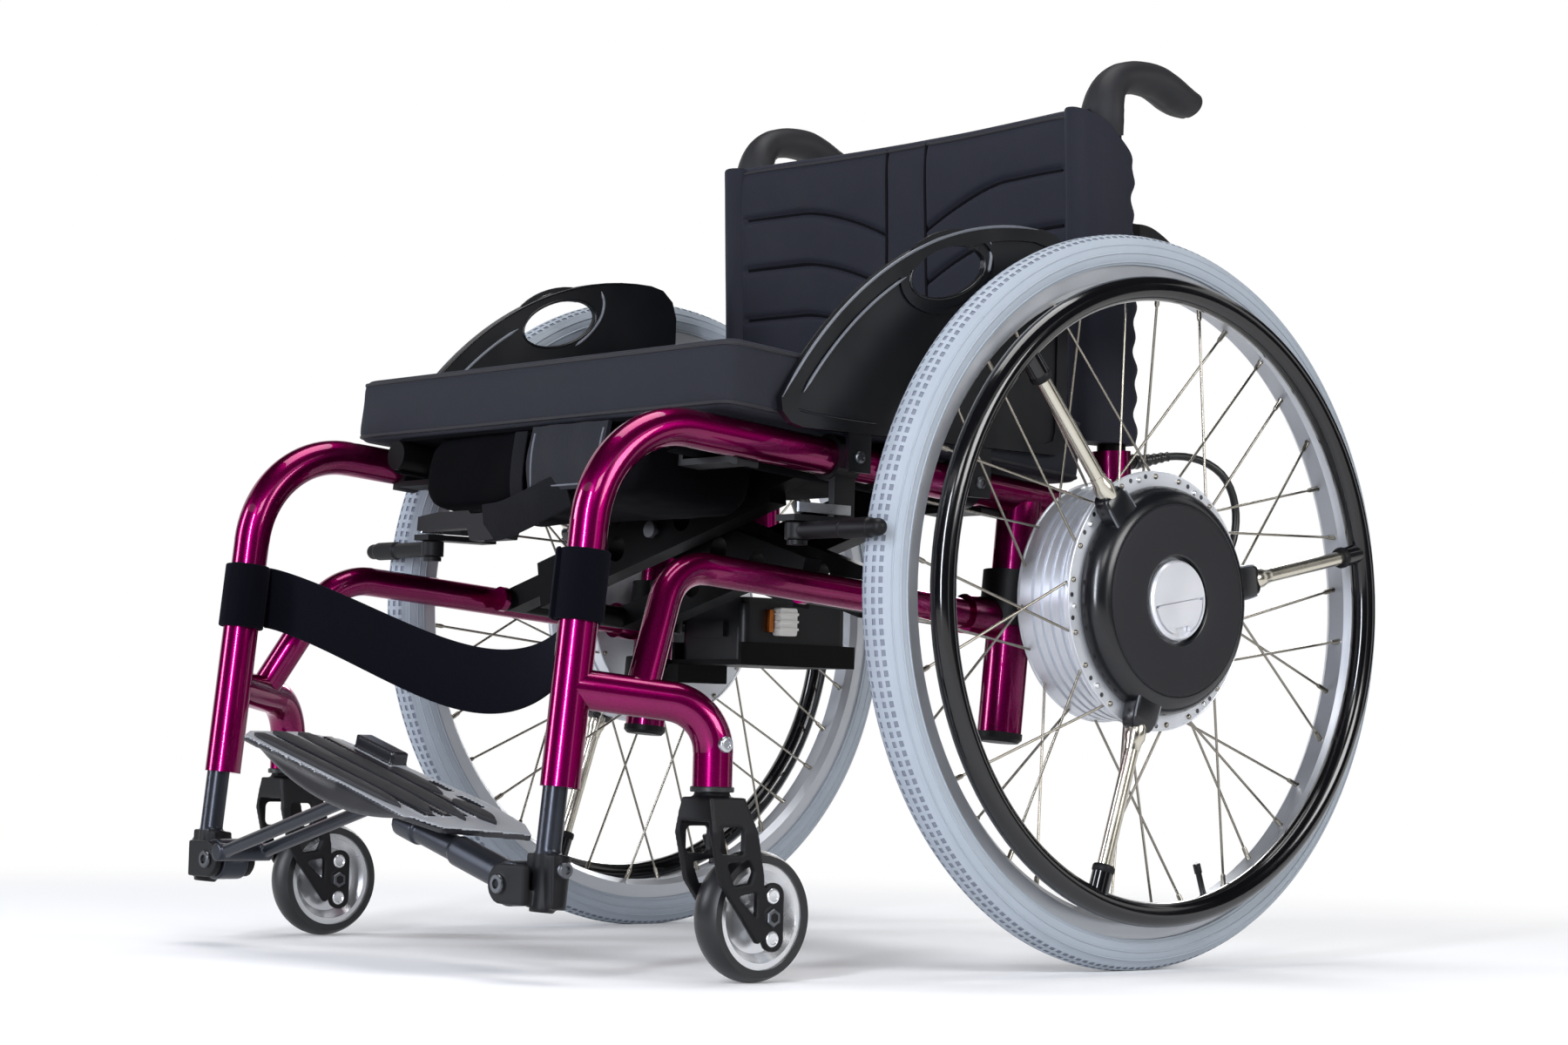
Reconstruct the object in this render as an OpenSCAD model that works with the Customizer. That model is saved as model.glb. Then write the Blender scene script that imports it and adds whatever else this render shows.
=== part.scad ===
// Folding active wheelchair with a power-assist hub motor in each drive wheel.
// Millimetres, +Z up, front towards -Y, the chair's left towards +X.
// The origin is on the floor under the middle of the chair's box.

/* [Layout] */
// Rear axle behind the middle of the chair's length
axle_back = 140.3; // [120:0.1:160]
// Width between the middles of the two side frames
frame_w = 470; // [430:2:520]
// Seat tube height at the seat's front edge
seat_h = 419; // [400:1:440]
// Seat front edge ahead of the rear axle
seat_ahead = 400; // [380:2:420]
// Seat slope down towards the rear, in degrees
seat_tilt = 4.5; // [2:0.5:7]

/* [Side frames] */
// Main tube diameter
tube_d = 30; // [28:1:34]
// Centre-line radius of the knee bend
knee_r = 88; // [70:2:110]
// Foot of the front tube ahead of the rear axle
front_ahead = 532; // [515:1:545]
// Height of the front tube's lower end
front_h = 144; // [130:2:160]
// Front tube lean, in degrees
front_lean = 6; // [3:0.5:8]
// Lower tube diameter
low_tube_d = 25; // [22:1:27]
// Lower tube under the seat tube
low_drop = 105; // [95:1:115]
// Axle tube diameter
axle_tube_d = 37; // [33:1:39]
// Axle tube's lower end, height
axle_tube_h = 193; // [180:1:204]
// Axle tube's lower end ahead of the axle
axle_tube_ahead = 72; // [66:1:80]
// Axle tube lean, in degrees
axle_tube_lean = 5.7; // [3:0.1:7]

/* [Drive wheels] */
// Wheel diameter over the tyre
wheel_d = 610; // [590:2:630]
// Wheel's middle plane outboard of the side frame
wheel_out = 87; // [84:1:95]
// Tyre section diameter
tyre_d = 36; // [30:1:38]
// Rim height
rim_h = 12; // [10:1:18]
// Rim width over its lips
rim_w = 28; // [26:1:29]
// Spokes in each wheel
spoke_n = 36; // [28:4:36]
// Spoke diameter
spoke_d = 2.2; // [1.8:0.1:3]
// Sideways turn of a spoke between hub and rim, in degrees
spoke_turn = 22; // [15:1:28]

/* [Handrims] */
// Handrim centre-line diameter
handrim_d = 516; // [500:2:526]
// Handrim tube diameter
handrim_tube = 20.5; // [18:0.5:22]
// Handrim's plane outboard of the wheel's middle plane
handrim_out = 33; // [31:1:36]
// Tie rod diameter
rod_d = 12; // [9:0.5:13]
// Angle of the first tie rod, in degrees
rod_at = 12; // [0:1:30]
// Handrim tie rods
rod_n = 3; // [3:1:4]

/* [Power hub] */
// Hub drum diameter
drum_d = 200; // [180:2:204]
// Hub drum width
drum_w = 63; // [61:1:66]
// Spoke flange diameter
flange_d = 214; // [210:2:220]
// Cover diameter at its foot
cover_d = 185; // [176:1:188]
// Cover diameter at its face
cover_face_d = 164; // [150:1:170]
// Cover height
cover_h = 22; // [20:1:26]
// Centre cap diameter
cap_d = 66; // [60:1:72]
// Axle diameter
axle_d = 20; // [16:1:22]
// Bearing outer diameter
bearing_d = 42; // [38:1:46]
// Stator teeth
tooth_n = 18; // [12:3:24]

/* [Casters] */
// Caster diameter
caster_d = 100; // [94:1:104]
// Caster tyre width
caster_w = 26; // [22:1:28]
// Caster stem outboard of the side frame
caster_out = 56; // [52:1:60]
// Caster stem ahead of the rear axle
stem_ahead = 432; // [425:1:440]
// Caster trail behind its stem
caster_trail = 42; // [36:1:46]
// Height of the stem housing's lower end
housing_h = 147; // [145:1:152]
// Fork leg thickness
leg_t = 6; // [5:0.5:7]

/* [Back] */
// Back post diameter
cane_d = 25; // [22:0.5:26]
// Back post inboard of the side frame
cane_in = 4; // [2:0.5:5]
// Back post behind the rear axle
cane_back = 64; // [60:1:70]
// Top of the back post's socket over the seat tube
socket_rise = 57.7; // [50:0.1:64]
// Forward lean of the back posts, in degrees
cane_lean = 2.5; // [1:0.5:4]
// Height of the backrest
back_h = 286; // [268:2:298]
// Backrest's lower edge over the seat's front
back_rise = 33; // [27:1:51]
// Backrest panel thickness
back_t = 24; // [18:1:28]
// Push grip diameter
grip_d = 32; // [29:1:34]
// Push grip reach behind the post
grip_reach = 88; // [80:2:100]

/* [Seat] */
// Cushion width
cushion_w = 512; // [490:2:514]
// Cushion depth
cushion_l = 402; // [380:2:406]
// Cushion thickness at its edge
cushion_t = 55; // [46:1:60]
// Cushion crown
crown = 5; // [2:1:8]
// Seat rail diameter
rail_d = 25; // [22:1:26]
// Seat rail inboard of the side frame
rail_in = 50; // [46:1:54]
// Seat rail length
rail_l = 380; // [350:5:390]
// Seat rail over the seat tube
rail_z = 3; // [2:0.5:5]
// Sling thickness
sling_t = 2.5; // [2:0.5:3]

/* [Cross brace] */
// Brace arm thickness
brace_d = 18; // [14:1:20]
// Brace arm height
brace_tall = 42; // [34:1:44]
// Lower brace pivot inboard of the side frame
pivot_in = 32; // [31:1:36]
// Brace pivot pin diameter
pivot_d = 10; // [8:1:12]
// Spread between the outer pair of brace arms
brace_spread = 130; // [120:2:134]

/* [Footrest] */
// Extension tube diameter
ext_d = 19; // [17:0.5:20]
// Extension tube ahead of the front tube's middle
ext_shift = 4; // [2:0.5:4.5]
// Foot hinge height
foot_h = 72; // [66:1:80]
// Foot hinge inboard of the side frame
foot_in = 30; // [30:1:36]
// Slope of the footplate, in degrees
plate_slope = 15; // [12:1:16]
// Foot arm diameter
arm_d = 24; // [20:1:26]
// Foot arm length
arm_l = 158; // [150:1:170]
// Footplate thickness
plate_t = 6; // [4:0.5:8]
// Footplate front lip height
lip_h = 22; // [16:1:26]
// Footplate length
plate_l = 286; // [270:2:296]
// Link bar diameter
link_d = 11; // [9:0.5:12]
// Link bar length
link_l = 213; // [195:1:214]

/* [Brakes] */
// Brake bar diameter
brake_d = 14; // [12:0.5:16]
// Brake bar length
brake_l = 100; // [90:1:102]
// Brake bar's pin behind the seat's front edge
brake_back = 86; // [82:1:86]
// Brake bar under the seat's front edge
brake_drop = 72; // [69:1:77]

/* [Battery] */
// Battery length
batt_l = 130; // [120:2:150]
// Battery width
batt_w = 92; // [80:2:96]
// Battery height
batt_h = 58; // [50:1:62]

/* [Fits] */
// Running clearance on a radius
run = 0.05; // [0.02:0.01:0.1]
// Gap between neighbours that move
gap = 0.5; // [0.4:0.1:1]
// Gap between pieces seated in each other
seat = 0.1; // [0.05:0.05:0.2]

/* [Hidden] */
$fn = 64;

// Where things stand. y counts from the rear axle, forwards is minus.
fx = frame_w / 2;
wheel_r = wheel_d / 2;
wx = fx + wheel_out;
tilt_t = tan(seat_tilt);
lean_t = tan(front_lean);
corner_z = (seat_h + (front_ahead + front_h * lean_t - seat_ahead) * tilt_t)
    / (1 + lean_t * tilt_t);
corner_y = -front_ahead + (corner_z - front_h) * lean_t;
cane_t = tan(cane_lean);
cane_x = fx - cane_in;
cane_z = seat_h + 21;
seat_end_z = (seat_h - (cane_back + cane_z * cane_t + seat_ahead) * tilt_t)
    / (1 - cane_t * tilt_t);
socket_h = seat_end_z + socket_rise;
back_low = seat_h + back_rise;
back_top = back_low + back_h;
brake_h = seat_h - brake_drop;
axle_lean_t = tan(axle_tube_lean);
black = [0.07, 0.07, 0.08];
paint = [0.5, 0.03, 0.33];
silver = [0.78, 0.8, 0.83];
cloth = [0.09, 0.09, 0.11];

// A point given from the rear axle's foot on the floor
function at(x, y, z) = [x, axle_back + y, z];
// A point in the sloped seat frame: y back from the seat's front, z over the seat tubes
function on_seat(x, y, z) = [
    x,
    axle_back - seat_ahead + y * cos(seat_tilt) + z * sin(seat_tilt),
    seat_h - y * sin(seat_tilt) + z * cos(seat_tilt)];
function front_y(z) = -front_ahead + (z - front_h) * lean_t;
function cane_y(z) = cane_back - (z - cane_z) * cane_t;
function axle_tube_y(z) = -axle_tube_ahead + (z - axle_tube_h) * axle_lean_t;
function unit(v) = v / norm(v);

module on_seat_frame()
    translate([0, axle_back - seat_ahead, seat_h]) rotate([-seat_tilt, 0, 0]) children();
module other_side() mirror([1, 0, 0]) children();

// A shape that stands on a, turned to look at b
module along(a, b) {
    v = b - a;
    translate(a) rotate([0, acos(v[2] / norm(v)), atan2(v[1], v[0])]) children();
}
module bar(a, b, d) along(a, b) cylinder(h = norm(b - a), d = d);
// A plate drawn in y and z, from x on outwards by t
module side_plate(x, t) translate([x, 0, 0]) rotate([90, 0, 90]) linear_extrude(t) children();
// A section drawn in x and z on the seat frame, run backwards
module across(y, t) translate([0, y + t, 0]) rotate([90, 0, 0]) linear_extrude(t) children();

// Bent tube through points, with a bend radius at each inner point. A bend is a hair thicker than
// the straights, which reach a little way into it.
bend_step = 0.3;
bend_lap = 1;
function tangent(p, r, i) = (i == 0 || i == len(p) - 1) ? 0
    : r[i - 1] * tan(acos(unit(p[i] - p[i - 1]) * unit(p[i + 1] - p[i])) / 2);
module pipe(p, r, d) {
    for (i = [0 : len(p) - 2]) {
        u = unit(p[i + 1] - p[i]);
        bar(p[i] + u * (tangent(p, r, i) - (i > 0 ? bend_lap : 0)),
            p[i + 1] - u * (tangent(p, r, i + 1) - (i < len(p) - 2 ? bend_lap : 0)), d);
    }
    for (i = [1 : 1 : len(p) - 2]) {
        u = unit(p[i] - p[i - 1]);
        w = unit(p[i + 1] - p[i]);
        n = unit(w - (u * w) * u);
        k = cross(u, n);
        c = p[i] - u * tangent(p, r, i) + n * r[i - 1];
        multmatrix([
            [-n[0], u[0], k[0], c[0]],
            [-n[1], u[1], k[1], c[1]],
            [-n[2], u[2], k[2], c[2]],
            [0, 0, 0, 1]])
            rotate_extrude(angle = acos(u * w)) translate([r[i - 1], 0])
                circle(d = d + bend_step);
    }
}

// Closed skin over rings of points, with a fan at each end
function skin_faces(rings, n) = concat(
    [for (i = [0 : rings - 2]) for (j = [0 : n - 1]) [i * n + j, (i + 1) * n + j,
        (i + 1) * n + (j + 1) % n]],
    [for (i = [0 : rings - 2]) for (j = [0 : n - 1]) [i * n + j, (i + 1) * n + (j + 1) % n,
        i * n + (j + 1) % n]],
    [for (j = [1 : n - 2]) [0, j, j + 1]],
    [for (j = [1 : n - 2]) [(rings - 1) * n, (rings - 1) * n + j + 1, (rings - 1) * n + j]]);
module skin(rings)
    polyhedron([for (ring = rings) for (q = ring) q], skin_faces(len(rings), len(rings[0])));

// Side frame

knee = [at(fx, front_y(front_h), front_h), at(fx, corner_y, corner_z),
    at(fx, cane_y(seat_end_z), seat_end_z)];
front_dir = unit(knee[1] - knee[0]);
seat_bore = 60;
socket_d = cane_d + 9;
ext_in = 100;
ext_off = [0, -cos(front_lean), sin(front_lean)] * ext_shift;
module upper_tube() color(paint)
    difference() {
        union() {
            pipe(knee, [knee_r], tube_d);
            bar(at(cane_x, cane_y(seat_end_z - tube_d), seat_end_z - tube_d),
                at(cane_x, cane_y(socket_h), socket_h), socket_d);
        }
        bar(at(cane_x, cane_y(socket_h - seat_bore), socket_h - seat_bore),
            at(cane_x, cane_y(socket_h + 1), socket_h + 1), cane_d + 2 * seat);
        bar(knee[0] + ext_off - front_dir, knee[0] + ext_off + front_dir * ext_in, ext_d + 2 * seat);
    }

// The caster arm leaves the front tube, bends down to the stem housing and carries the lower tube
arm_z = 218;
arm_fall = 12;
arm_bend_r = 38;
stem_d = 12;
stem_in = 44;
stem_x = fx + caster_out;
low_x = fx - 3;
low_from = 0.48;
low_bend_r = 52;
low_lead = 18;
arm_a = at(fx, front_y(arm_z), arm_z);
arm_b = at(stem_x, -stem_ahead, arm_z - arm_fall);
arm_c = at(stem_x, -stem_ahead, housing_h);
low_a = arm_a + (arm_b - arm_a) * low_from;
low_b = on_seat(low_x, -low_lead, -low_drop);
low_end = at(fx, axle_tube_y(seat_h - low_drop), 0)[1];
low_c = on_seat(low_x, (low_end - axle_back + seat_ahead) / cos(seat_tilt)
    - low_drop * tan(-seat_tilt), -low_drop);
pivot_x = fx - pivot_in;
brace_back = seat_ahead * 0.555;
ear_t = 6;
ear_gap = 2;
brace_y0 = brace_back - brace_spread / 2 - brace_d / 2 - 2;
brace_y1 = brace_back + brace_spread / 2 + brace_d / 2 + 2;
receiver_l = 34;
receiver_d = low_tube_d + 8;
module lower_frame() color(paint) {
    difference() {
        union() {
            pipe([arm_a, arm_b, arm_c], [arm_bend_r], tube_d);
            pipe([low_a, low_b, low_c], [low_bend_r], low_tube_d);
            along(low_c, low_b) translate([0, 0, axle_tube_d / 2 + 2])
                cylinder(h = receiver_l, d = receiver_d);
            on_seat_frame() {
                for (y = [brace_y0 - ear_t - ear_gap, brace_y1 + ear_gap]) across(y, ear_t) {
                    translate([pivot_x, -low_drop]) circle(d = pivot_d + 12);
                    translate([pivot_x, -low_drop - 8]) square([low_x - pivot_x, 16]);
                }
                translate([pivot_x, brace_y0 - ear_t - ear_gap, -low_drop]) rotate([-90, 0, 0])
                    cylinder(h = brace_y1 - brace_y0 + 2 * ear_t + 2 * ear_gap, d = pivot_d);
            }
        }
        pipe(knee, [knee_r], tube_d + 2 * seat);
        translate(arm_c - [0, 0, 1]) cylinder(h = stem_in + 1, d = stem_d + 2 * run);
        axle_tube_solid(axle_tube_d + 2 * seat);
    }
}

// The upright that carries the axle bracket
tube_plug = 8;
module axle_tube_solid(d)
    bar(at(fx, axle_tube_y(axle_tube_h), axle_tube_h), at(fx, axle_tube_y(seat_h), seat_h), d);
module axle_tube() color(paint)
    difference() {
        axle_tube_solid(axle_tube_d);
        pipe(knee, [knee_r], tube_d + 2 * seat);
        translate(at(fx - axle_tube_d, axle_tube_y(seat_h) - 2 * axle_tube_d,
            seat_h - (seat_ahead - axle_tube_ahead) * tilt_t - 6)) cube(4 * axle_tube_d);
    }

// Black cast pieces on the frame: seat saddles, guard bands, axle bracket, tube plug, brake mount
saddle_y = [34, 304];
saddle_w = 22;
rail_x = fx - rail_in;
sleeve_r = rail_d / 2 + gap;
rest = 0.3;
guard_x = fx + 23;
guard_t = 4;
saddle_wall = 5;
// A hook under the seat tube whose floor carries the rail in its sleeve
module saddle() {
    floor_z = rail_z - sleeve_r - sling_t - rest;
    hook_x = rail_x - sleeve_r - sling_t - saddle_wall - 2;
    difference() {
        union() {
            intersection() {
                translate([fx, 0]) circle(d = tube_d + 2 * saddle_wall);
                translate([fx - tube_d, -tube_d]) square([tube_d, tube_d + 4]);
            }
            translate([hook_x, floor_z - saddle_wall]) square([fx - hook_x, saddle_wall]);
            translate([hook_x, floor_z - saddle_wall]) square([saddle_wall, saddle_wall + 7]);
        }
        translate([fx, 0]) circle(d = tube_d + 2 * seat);
    }
}
// Bands round the seat tube, with a lug for the side guard's tab
band_y = [126, 178, 262];
band_w = 24;
band_wall = 3.5;
lug_h = 18;
module guard_band() difference() {
    union() {
        translate([fx, 0]) circle(d = tube_d + 2 * band_wall);
        translate([fx, -lug_h / 2]) square([guard_x - seat - fx, lug_h]);
    }
    translate([fx, 0]) circle(d = tube_d + 2 * seat);
}
bracket_h = 46;
bracket_wall = 7;
hub_in = drum_w - 23;
disc_t = 14;
disc_in = hub_in + gap * 2 + disc_t;
module axle_bracket() {
    z0 = wheel_r - bracket_h / 2;
    z1 = wheel_r + bracket_h / 2;
    difference() {
        union() {
            bar(at(fx, axle_tube_y(z0), z0), at(fx, axle_tube_y(z1), z1),
                axle_tube_d + 2 * bracket_wall);
            translate(at(fx - 14, 0, wheel_r)) rotate([0, 90, 0])
                cylinder(h = wx - disc_in - fx + 14, d = axle_d + 20);
            translate(at(fx - 12, axle_tube_y(wheel_r), wheel_r - 15))
                cube([24, -axle_tube_y(wheel_r), 30]);
        }
        axle_tube_solid(axle_tube_d + 2 * seat);
        translate(at(fx - 40, 0, wheel_r)) rotate([0, 90, 0]) cylinder(h = 120, d = axle_d + 2 * seat);
        along(low_c, low_b) cylinder(h = receiver_l + axle_tube_d, d = receiver_d + 2 * seat);
        pipe(knee, [knee_r], tube_d + 2 * seat);
    }
}
brake_x = fx + 12;
brake_ahead = seat_ahead - brake_back;
brake_pin = 6;
eye_d = 20;
eye_h = brake_d;
leg_y = on_seat(0, band_y[0], 0)[1] - axle_back;
leg_top = on_seat(0, band_y[0], 0)[2] - tube_d / 2 + 4;
plate_under = brake_h + eye_h / 2 + gap;
module brake_mount() difference() {
    union() {
        translate(at(brake_x - 8, leg_y, plate_under)) cube([7, band_w - 2, leg_top - plate_under]);
        translate(at(brake_x - 11, -brake_ahead - 13, plate_under))
            cube([22, leg_y + brake_ahead + 12 + band_w, 5]);
        translate(at(brake_x, -brake_ahead, brake_h - eye_h / 2 - 4))
            cylinder(h = eye_h + 10, d = brake_pin);
        translate(at(brake_x, -brake_ahead, brake_h - eye_h / 2 - 4))
            cylinder(h = 4 - gap, d = eye_d - 4);
    }
    pipe(knee, [knee_r], tube_d + 2 * seat);
}
module tube_plug()
    along(at(fx, axle_tube_y(axle_tube_h), axle_tube_h),
        at(fx, axle_tube_y(axle_tube_h - tube_plug), axle_tube_h - tube_plug)) {
        cylinder(h = tube_plug - 3, d = axle_tube_d + 2);
        translate([0, 0, tube_plug - 3]) cylinder(h = 3, d1 = axle_tube_d + 2, d2 = axle_tube_d - 4);
    }
module frame_fittings() color(black) {
    on_seat_frame() {
        for (y = saddle_y) across(y, saddle_w) saddle();
        for (y = band_y) across(y, band_w) guard_band();
    }
    axle_bracket();
    brake_mount();
    tube_plug();
}

// Back posts, grips

post_top = back_top + 6;
grip_z = post_top + 29;
grip_fall = 4;
clamp_z = back_low + 166;
clamp_h = 30;
grip_hook = 18;
grip_bend_r = 30;
module back_post() color(black) {
    bar(at(cane_x, cane_y(socket_h - seat_bore), socket_h - seat_bore),
        at(cane_x, cane_y(post_top), post_top), cane_d);
    // Clamp with its ear, behind the post
    bar(at(cane_x, cane_y(clamp_z), clamp_z), at(cane_x, cane_y(clamp_z + clamp_h), clamp_z + clamp_h),
        cane_d + 5);
    translate(at(cane_x - 6, cane_y(clamp_z + clamp_h / 2), clamp_z + 6)) cube([12, 34, clamp_h - 12]);
}
grip_end = at(cane_x, cane_y(grip_z) + grip_reach, grip_z - grip_reach * tan(grip_fall));
module push_grip() color(black)
    difference() {
        union() {
            pipe([at(cane_x, cane_y(post_top - 22), post_top - 22),
                at(cane_x, cane_y(grip_z), grip_z), grip_end], [grip_bend_r], grip_d);
            translate(grip_end) sphere(d = grip_d + 1);
            bar(grip_end, grip_end - [0, 0, grip_hook], grip_d - 1);
            bar(at(cane_x, cane_y(post_top - 22), post_top - 22),
                at(cane_x, cane_y(post_top - 17), post_top - 17), grip_d + 3);
        }
        bar(at(cane_x, cane_y(post_top - 30), post_top - 30),
            at(cane_x, cane_y(post_top + seat), post_top + seat), cane_d + 2 * seat);
    }

// Side guard: a curved panel with a hand slot, a raised rim and a rib
arc = [[-60, 197], [-170, 201], [-280, 141], [-349, 30]];
arc_n = 18;
function bezier(p, t) = p[0] * pow(1 - t, 3) + p[1] * 3 * t * pow(1 - t, 2)
    + p[2] * 3 * t * t * (1 - t) + p[3] * pow(t, 3);
guard_low = 8;
guard_rear = -28;
guard_out = concat([for (i = [0 : arc_n]) bezier(arc, i / arc_n)],
    [[-347, guard_low + 11], [-338, guard_low + 3], [-325, guard_low], [guard_rear - 12, guard_low],
     [guard_rear - 3, guard_low + 4], [guard_rear, guard_low + 13], [guard_rear, 169],
     [guard_rear - 5, 184], [guard_rear - 17, 194]]);
// Tabs that reach down over the bands' lugs
module guard_tabs() for (y = band_y) {
    c = on_seat(0, y, 0) - [0, axle_back, seat_h];
    translate([c[1], c[2] - lug_h / 2 - 4]) square([band_w, guard_low + 8 - c[2] + lug_h / 2 + 4]);
}
rim_in = 15;
rib_h = 2.5;
function inset(p, c, d) = [for (q = p) q + (c - q) * d / norm(c - q)];
slot = [43, 19.5];
slot_n = 40;
slot_at = [-169, 149];
guard_mid = [slot_at[0] + 19, slot_at[1] - 68];
module guard_slot(d = 0) rotate(19)
    polygon([for (i = [0 : slot_n - 1]) let (a = 360 * i / slot_n)
        [(slot[0] + d) * cos(a), (slot[1] + d) * sin(a)]]);
module side_guard() color(black) translate([0, axle_back, seat_h]) {
    difference() {
        union() {
            side_plate(guard_x, guard_t) {
                polygon(guard_out);
                guard_tabs();
            }
            side_plate(guard_x + guard_t - 0.5, rib_h) difference() {
                polygon(guard_out);
                polygon(inset(guard_out, guard_mid, rim_in));
            }
            side_plate(guard_x + guard_t - 0.5, rib_h) translate(slot_at) difference() {
                guard_slot(14);
                guard_slot(10);
            }
        }
        side_plate(guard_x - 1, guard_t + rib_h + 2) translate(slot_at) guard_slot();
    }
}

// Extension tube and the foot clamp: two cheeks beside the tube, a bolt, and the hinge's two ears
foot_x = fx - foot_in;
function ext_y(z) = front_y(z) - ext_shift / cos(front_lean);
foot_y = ext_y(foot_h);
ext_low = foot_h - 20;
clamp_d = ext_d + 16;
eye_w = 24;
foot_ear = 7;
foot_pin = 12;
foot_eye = 34;
module foot_extension() color(black) difference() {
    union() {
        bar(at(fx, ext_y(ext_low), ext_low), knee[0] + ext_off + front_dir * (ext_in - 2), ext_d);
        difference() {
            bar(at(fx, ext_y(foot_h - 17), foot_h - 17), at(fx, ext_y(foot_h + 23), foot_h + 23), clamp_d);
            translate(at(fx - clamp_d, foot_y - clamp_d - ext_d / 2 + 4, foot_h - 60))
                cube([2 * clamp_d, clamp_d, 120]);
        }
        translate(at(fx - clamp_d / 2 - 2, foot_y + 3, foot_h + 12)) rotate([0, 90, 0])
            cylinder(h = clamp_d + 4, d = 9);
        for (s = [-1, 1]) translate(at(0, foot_y + s * (eye_w / 2 + gap + foot_ear / 2), 0))
            rotate([90, 0, 0]) translate([0, 0, -foot_ear / 2]) linear_extrude(foot_ear) {
                translate([foot_x, foot_h]) circle(d = foot_eye - 4);
                translate([foot_x, foot_h - 15]) square([foot_in, 30]);
            }
        translate(at(foot_x, foot_y - eye_w / 2 - gap - foot_ear - 2, foot_h)) rotate([-90, 0, 0])
            cylinder(h = eye_w + 2 * gap + 2 * foot_ear + 4, d = foot_pin);
    }
    translate(at(foot_x, foot_y - eye_w / 2 - gap, foot_h)) rotate([-90, 0, 0]) difference() {
        cylinder(h = eye_w + 2 * gap, d = foot_eye + 2 * gap);
        translate([0, 0, -1]) cylinder(h = eye_w + 2 * gap + 2, d = foot_pin);
    }
}

// Drive wheel, drawn round the axle: x outboard from the wheel's middle plane
module at_wheel() translate(at(wx, 0, wheel_r)) rotate([0, 90, 0]) rotate(180) children();
tyre_c = wheel_r - tyre_d / 2;
bead_r = tyre_c - 13;
lip_t = 2;
lip_r = 5;
rim_r = bead_r - rim_h;
module tyre() color([0.6, 0.65, 0.69]) at_wheel() rotate_extrude() difference() {
    translate([tyre_c, 0]) circle(d = tyre_d);
    translate([tyre_c - tyre_d, -tyre_d]) square([bead_r + seat - tyre_c + tyre_d, 2 * tyre_d]);
    for (s = [-1, 1]) translate([bead_r - 1, s * (rim_w / 2 - lip_t - seat + tyre_d / 2) - tyre_d / 2])
        square([lip_r + 1 + seat, tyre_d]);
}
module rim() color(silver) at_wheel() rotate_extrude() polygon([
    [rim_r, -rim_w / 2 + 6], [rim_r + 5, -rim_w / 2], [bead_r + lip_r, -rim_w / 2],
    [bead_r + lip_r, -rim_w / 2 + lip_t], [bead_r, -rim_w / 2 + lip_t],
    [bead_r, rim_w / 2 - lip_t], [bead_r + lip_r, rim_w / 2 - lip_t],
    [bead_r + lip_r, rim_w / 2], [rim_r + 5, rim_w / 2], [rim_r, rim_w / 2 - 6]]);
hub_out = drum_w - hub_in;
flange_t = 6;
spoke_in = 4;
function spoke_side(i) = i % 2;
function spoke_way(i) = floor(i / 2) % 2 == 0 ? 1 : -1;
module spokes() color([0.8, 0.8, 0.78]) at_wheel() for (i = [0 : spoke_n - 1]) {
    a = (i + 0.5) * 360 / spoke_n;
    b = a + spoke_way(i) * spoke_turn;
    u = spoke_side(i) == 0 ? hub_out - flange_t / 2 : -hub_in + flange_t / 2;
    r = (u > 0 ? flange_d : drum_d) / 2 - spoke_in;
    bar([r * cos(b), r * sin(b), u],
        [(rim_r + 2) * cos(a), (rim_r + 2) * sin(a), u > 0 ? 3 : -3], spoke_d);
}
plate_w = 6;
nose_d = 80;
nose_h = 12;
magnet_t = 5;
drum_wall = 12;
bear_w = 12;
groove_n = 4;
groove_w = 4;
groove_h = 3;
module hub_shell() color(silver) at_wheel() rotate_extrude() difference() {
    union() {
        translate([0, -hub_in]) square([drum_d / 2, drum_w]);
        translate([0, hub_out - flange_t]) square([flange_d / 2, flange_t]);
        translate([0, hub_out]) square([nose_d / 2, nose_h]);
    }
    for (i = [1 : groove_n])
        translate([drum_d / 2 - groove_h, -hub_in + flange_t - groove_w / 2
            + i * (drum_w - 2 * flange_t) / (groove_n + 1)]) square([groove_h + 9, groove_w]);
    translate([-1, -hub_in + plate_w])
        square([drum_d / 2 - drum_wall + 1, drum_w - plate_w - 9]);
    translate([-1, -hub_in - 1]) square([bearing_d / 2 + run + 1, plate_w + 2]);
    translate([-1, hub_out - 10]) square([bearing_d / 2 + run + 1, bear_w + 2]);
    translate([-1, 0]) square([axle_d / 2 + 3, hub_out + nose_h + 1]);
}
module axle_set() color([0.45, 0.46, 0.48]) at_wheel() {
    difference() {
        union() {
            translate([0, 0, -wx + fx - 22]) cylinder(h = wx - fx + 22 + hub_out + nose_h - 2, d = axle_d);
            translate([0, 0, -disc_in]) cylinder(h = disc_t, d = disc_d);
            translate([0, 0, -wx + fx - 22]) cylinder(h = 8 - seat, d = axle_d + 12, $fn = 6);
        }
    }
    for (u = [-hub_in - gap, hub_out - 10]) translate([0, 0, u]) difference() {
        cylinder(h = bear_w, d = bearing_d);
        translate([0, 0, -1]) cylinder(h = bear_w + 2, d = axle_d + 2 * seat);
    }
}
stator_w = 30;
stator_u = -24;
air_gap = 2;
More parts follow.
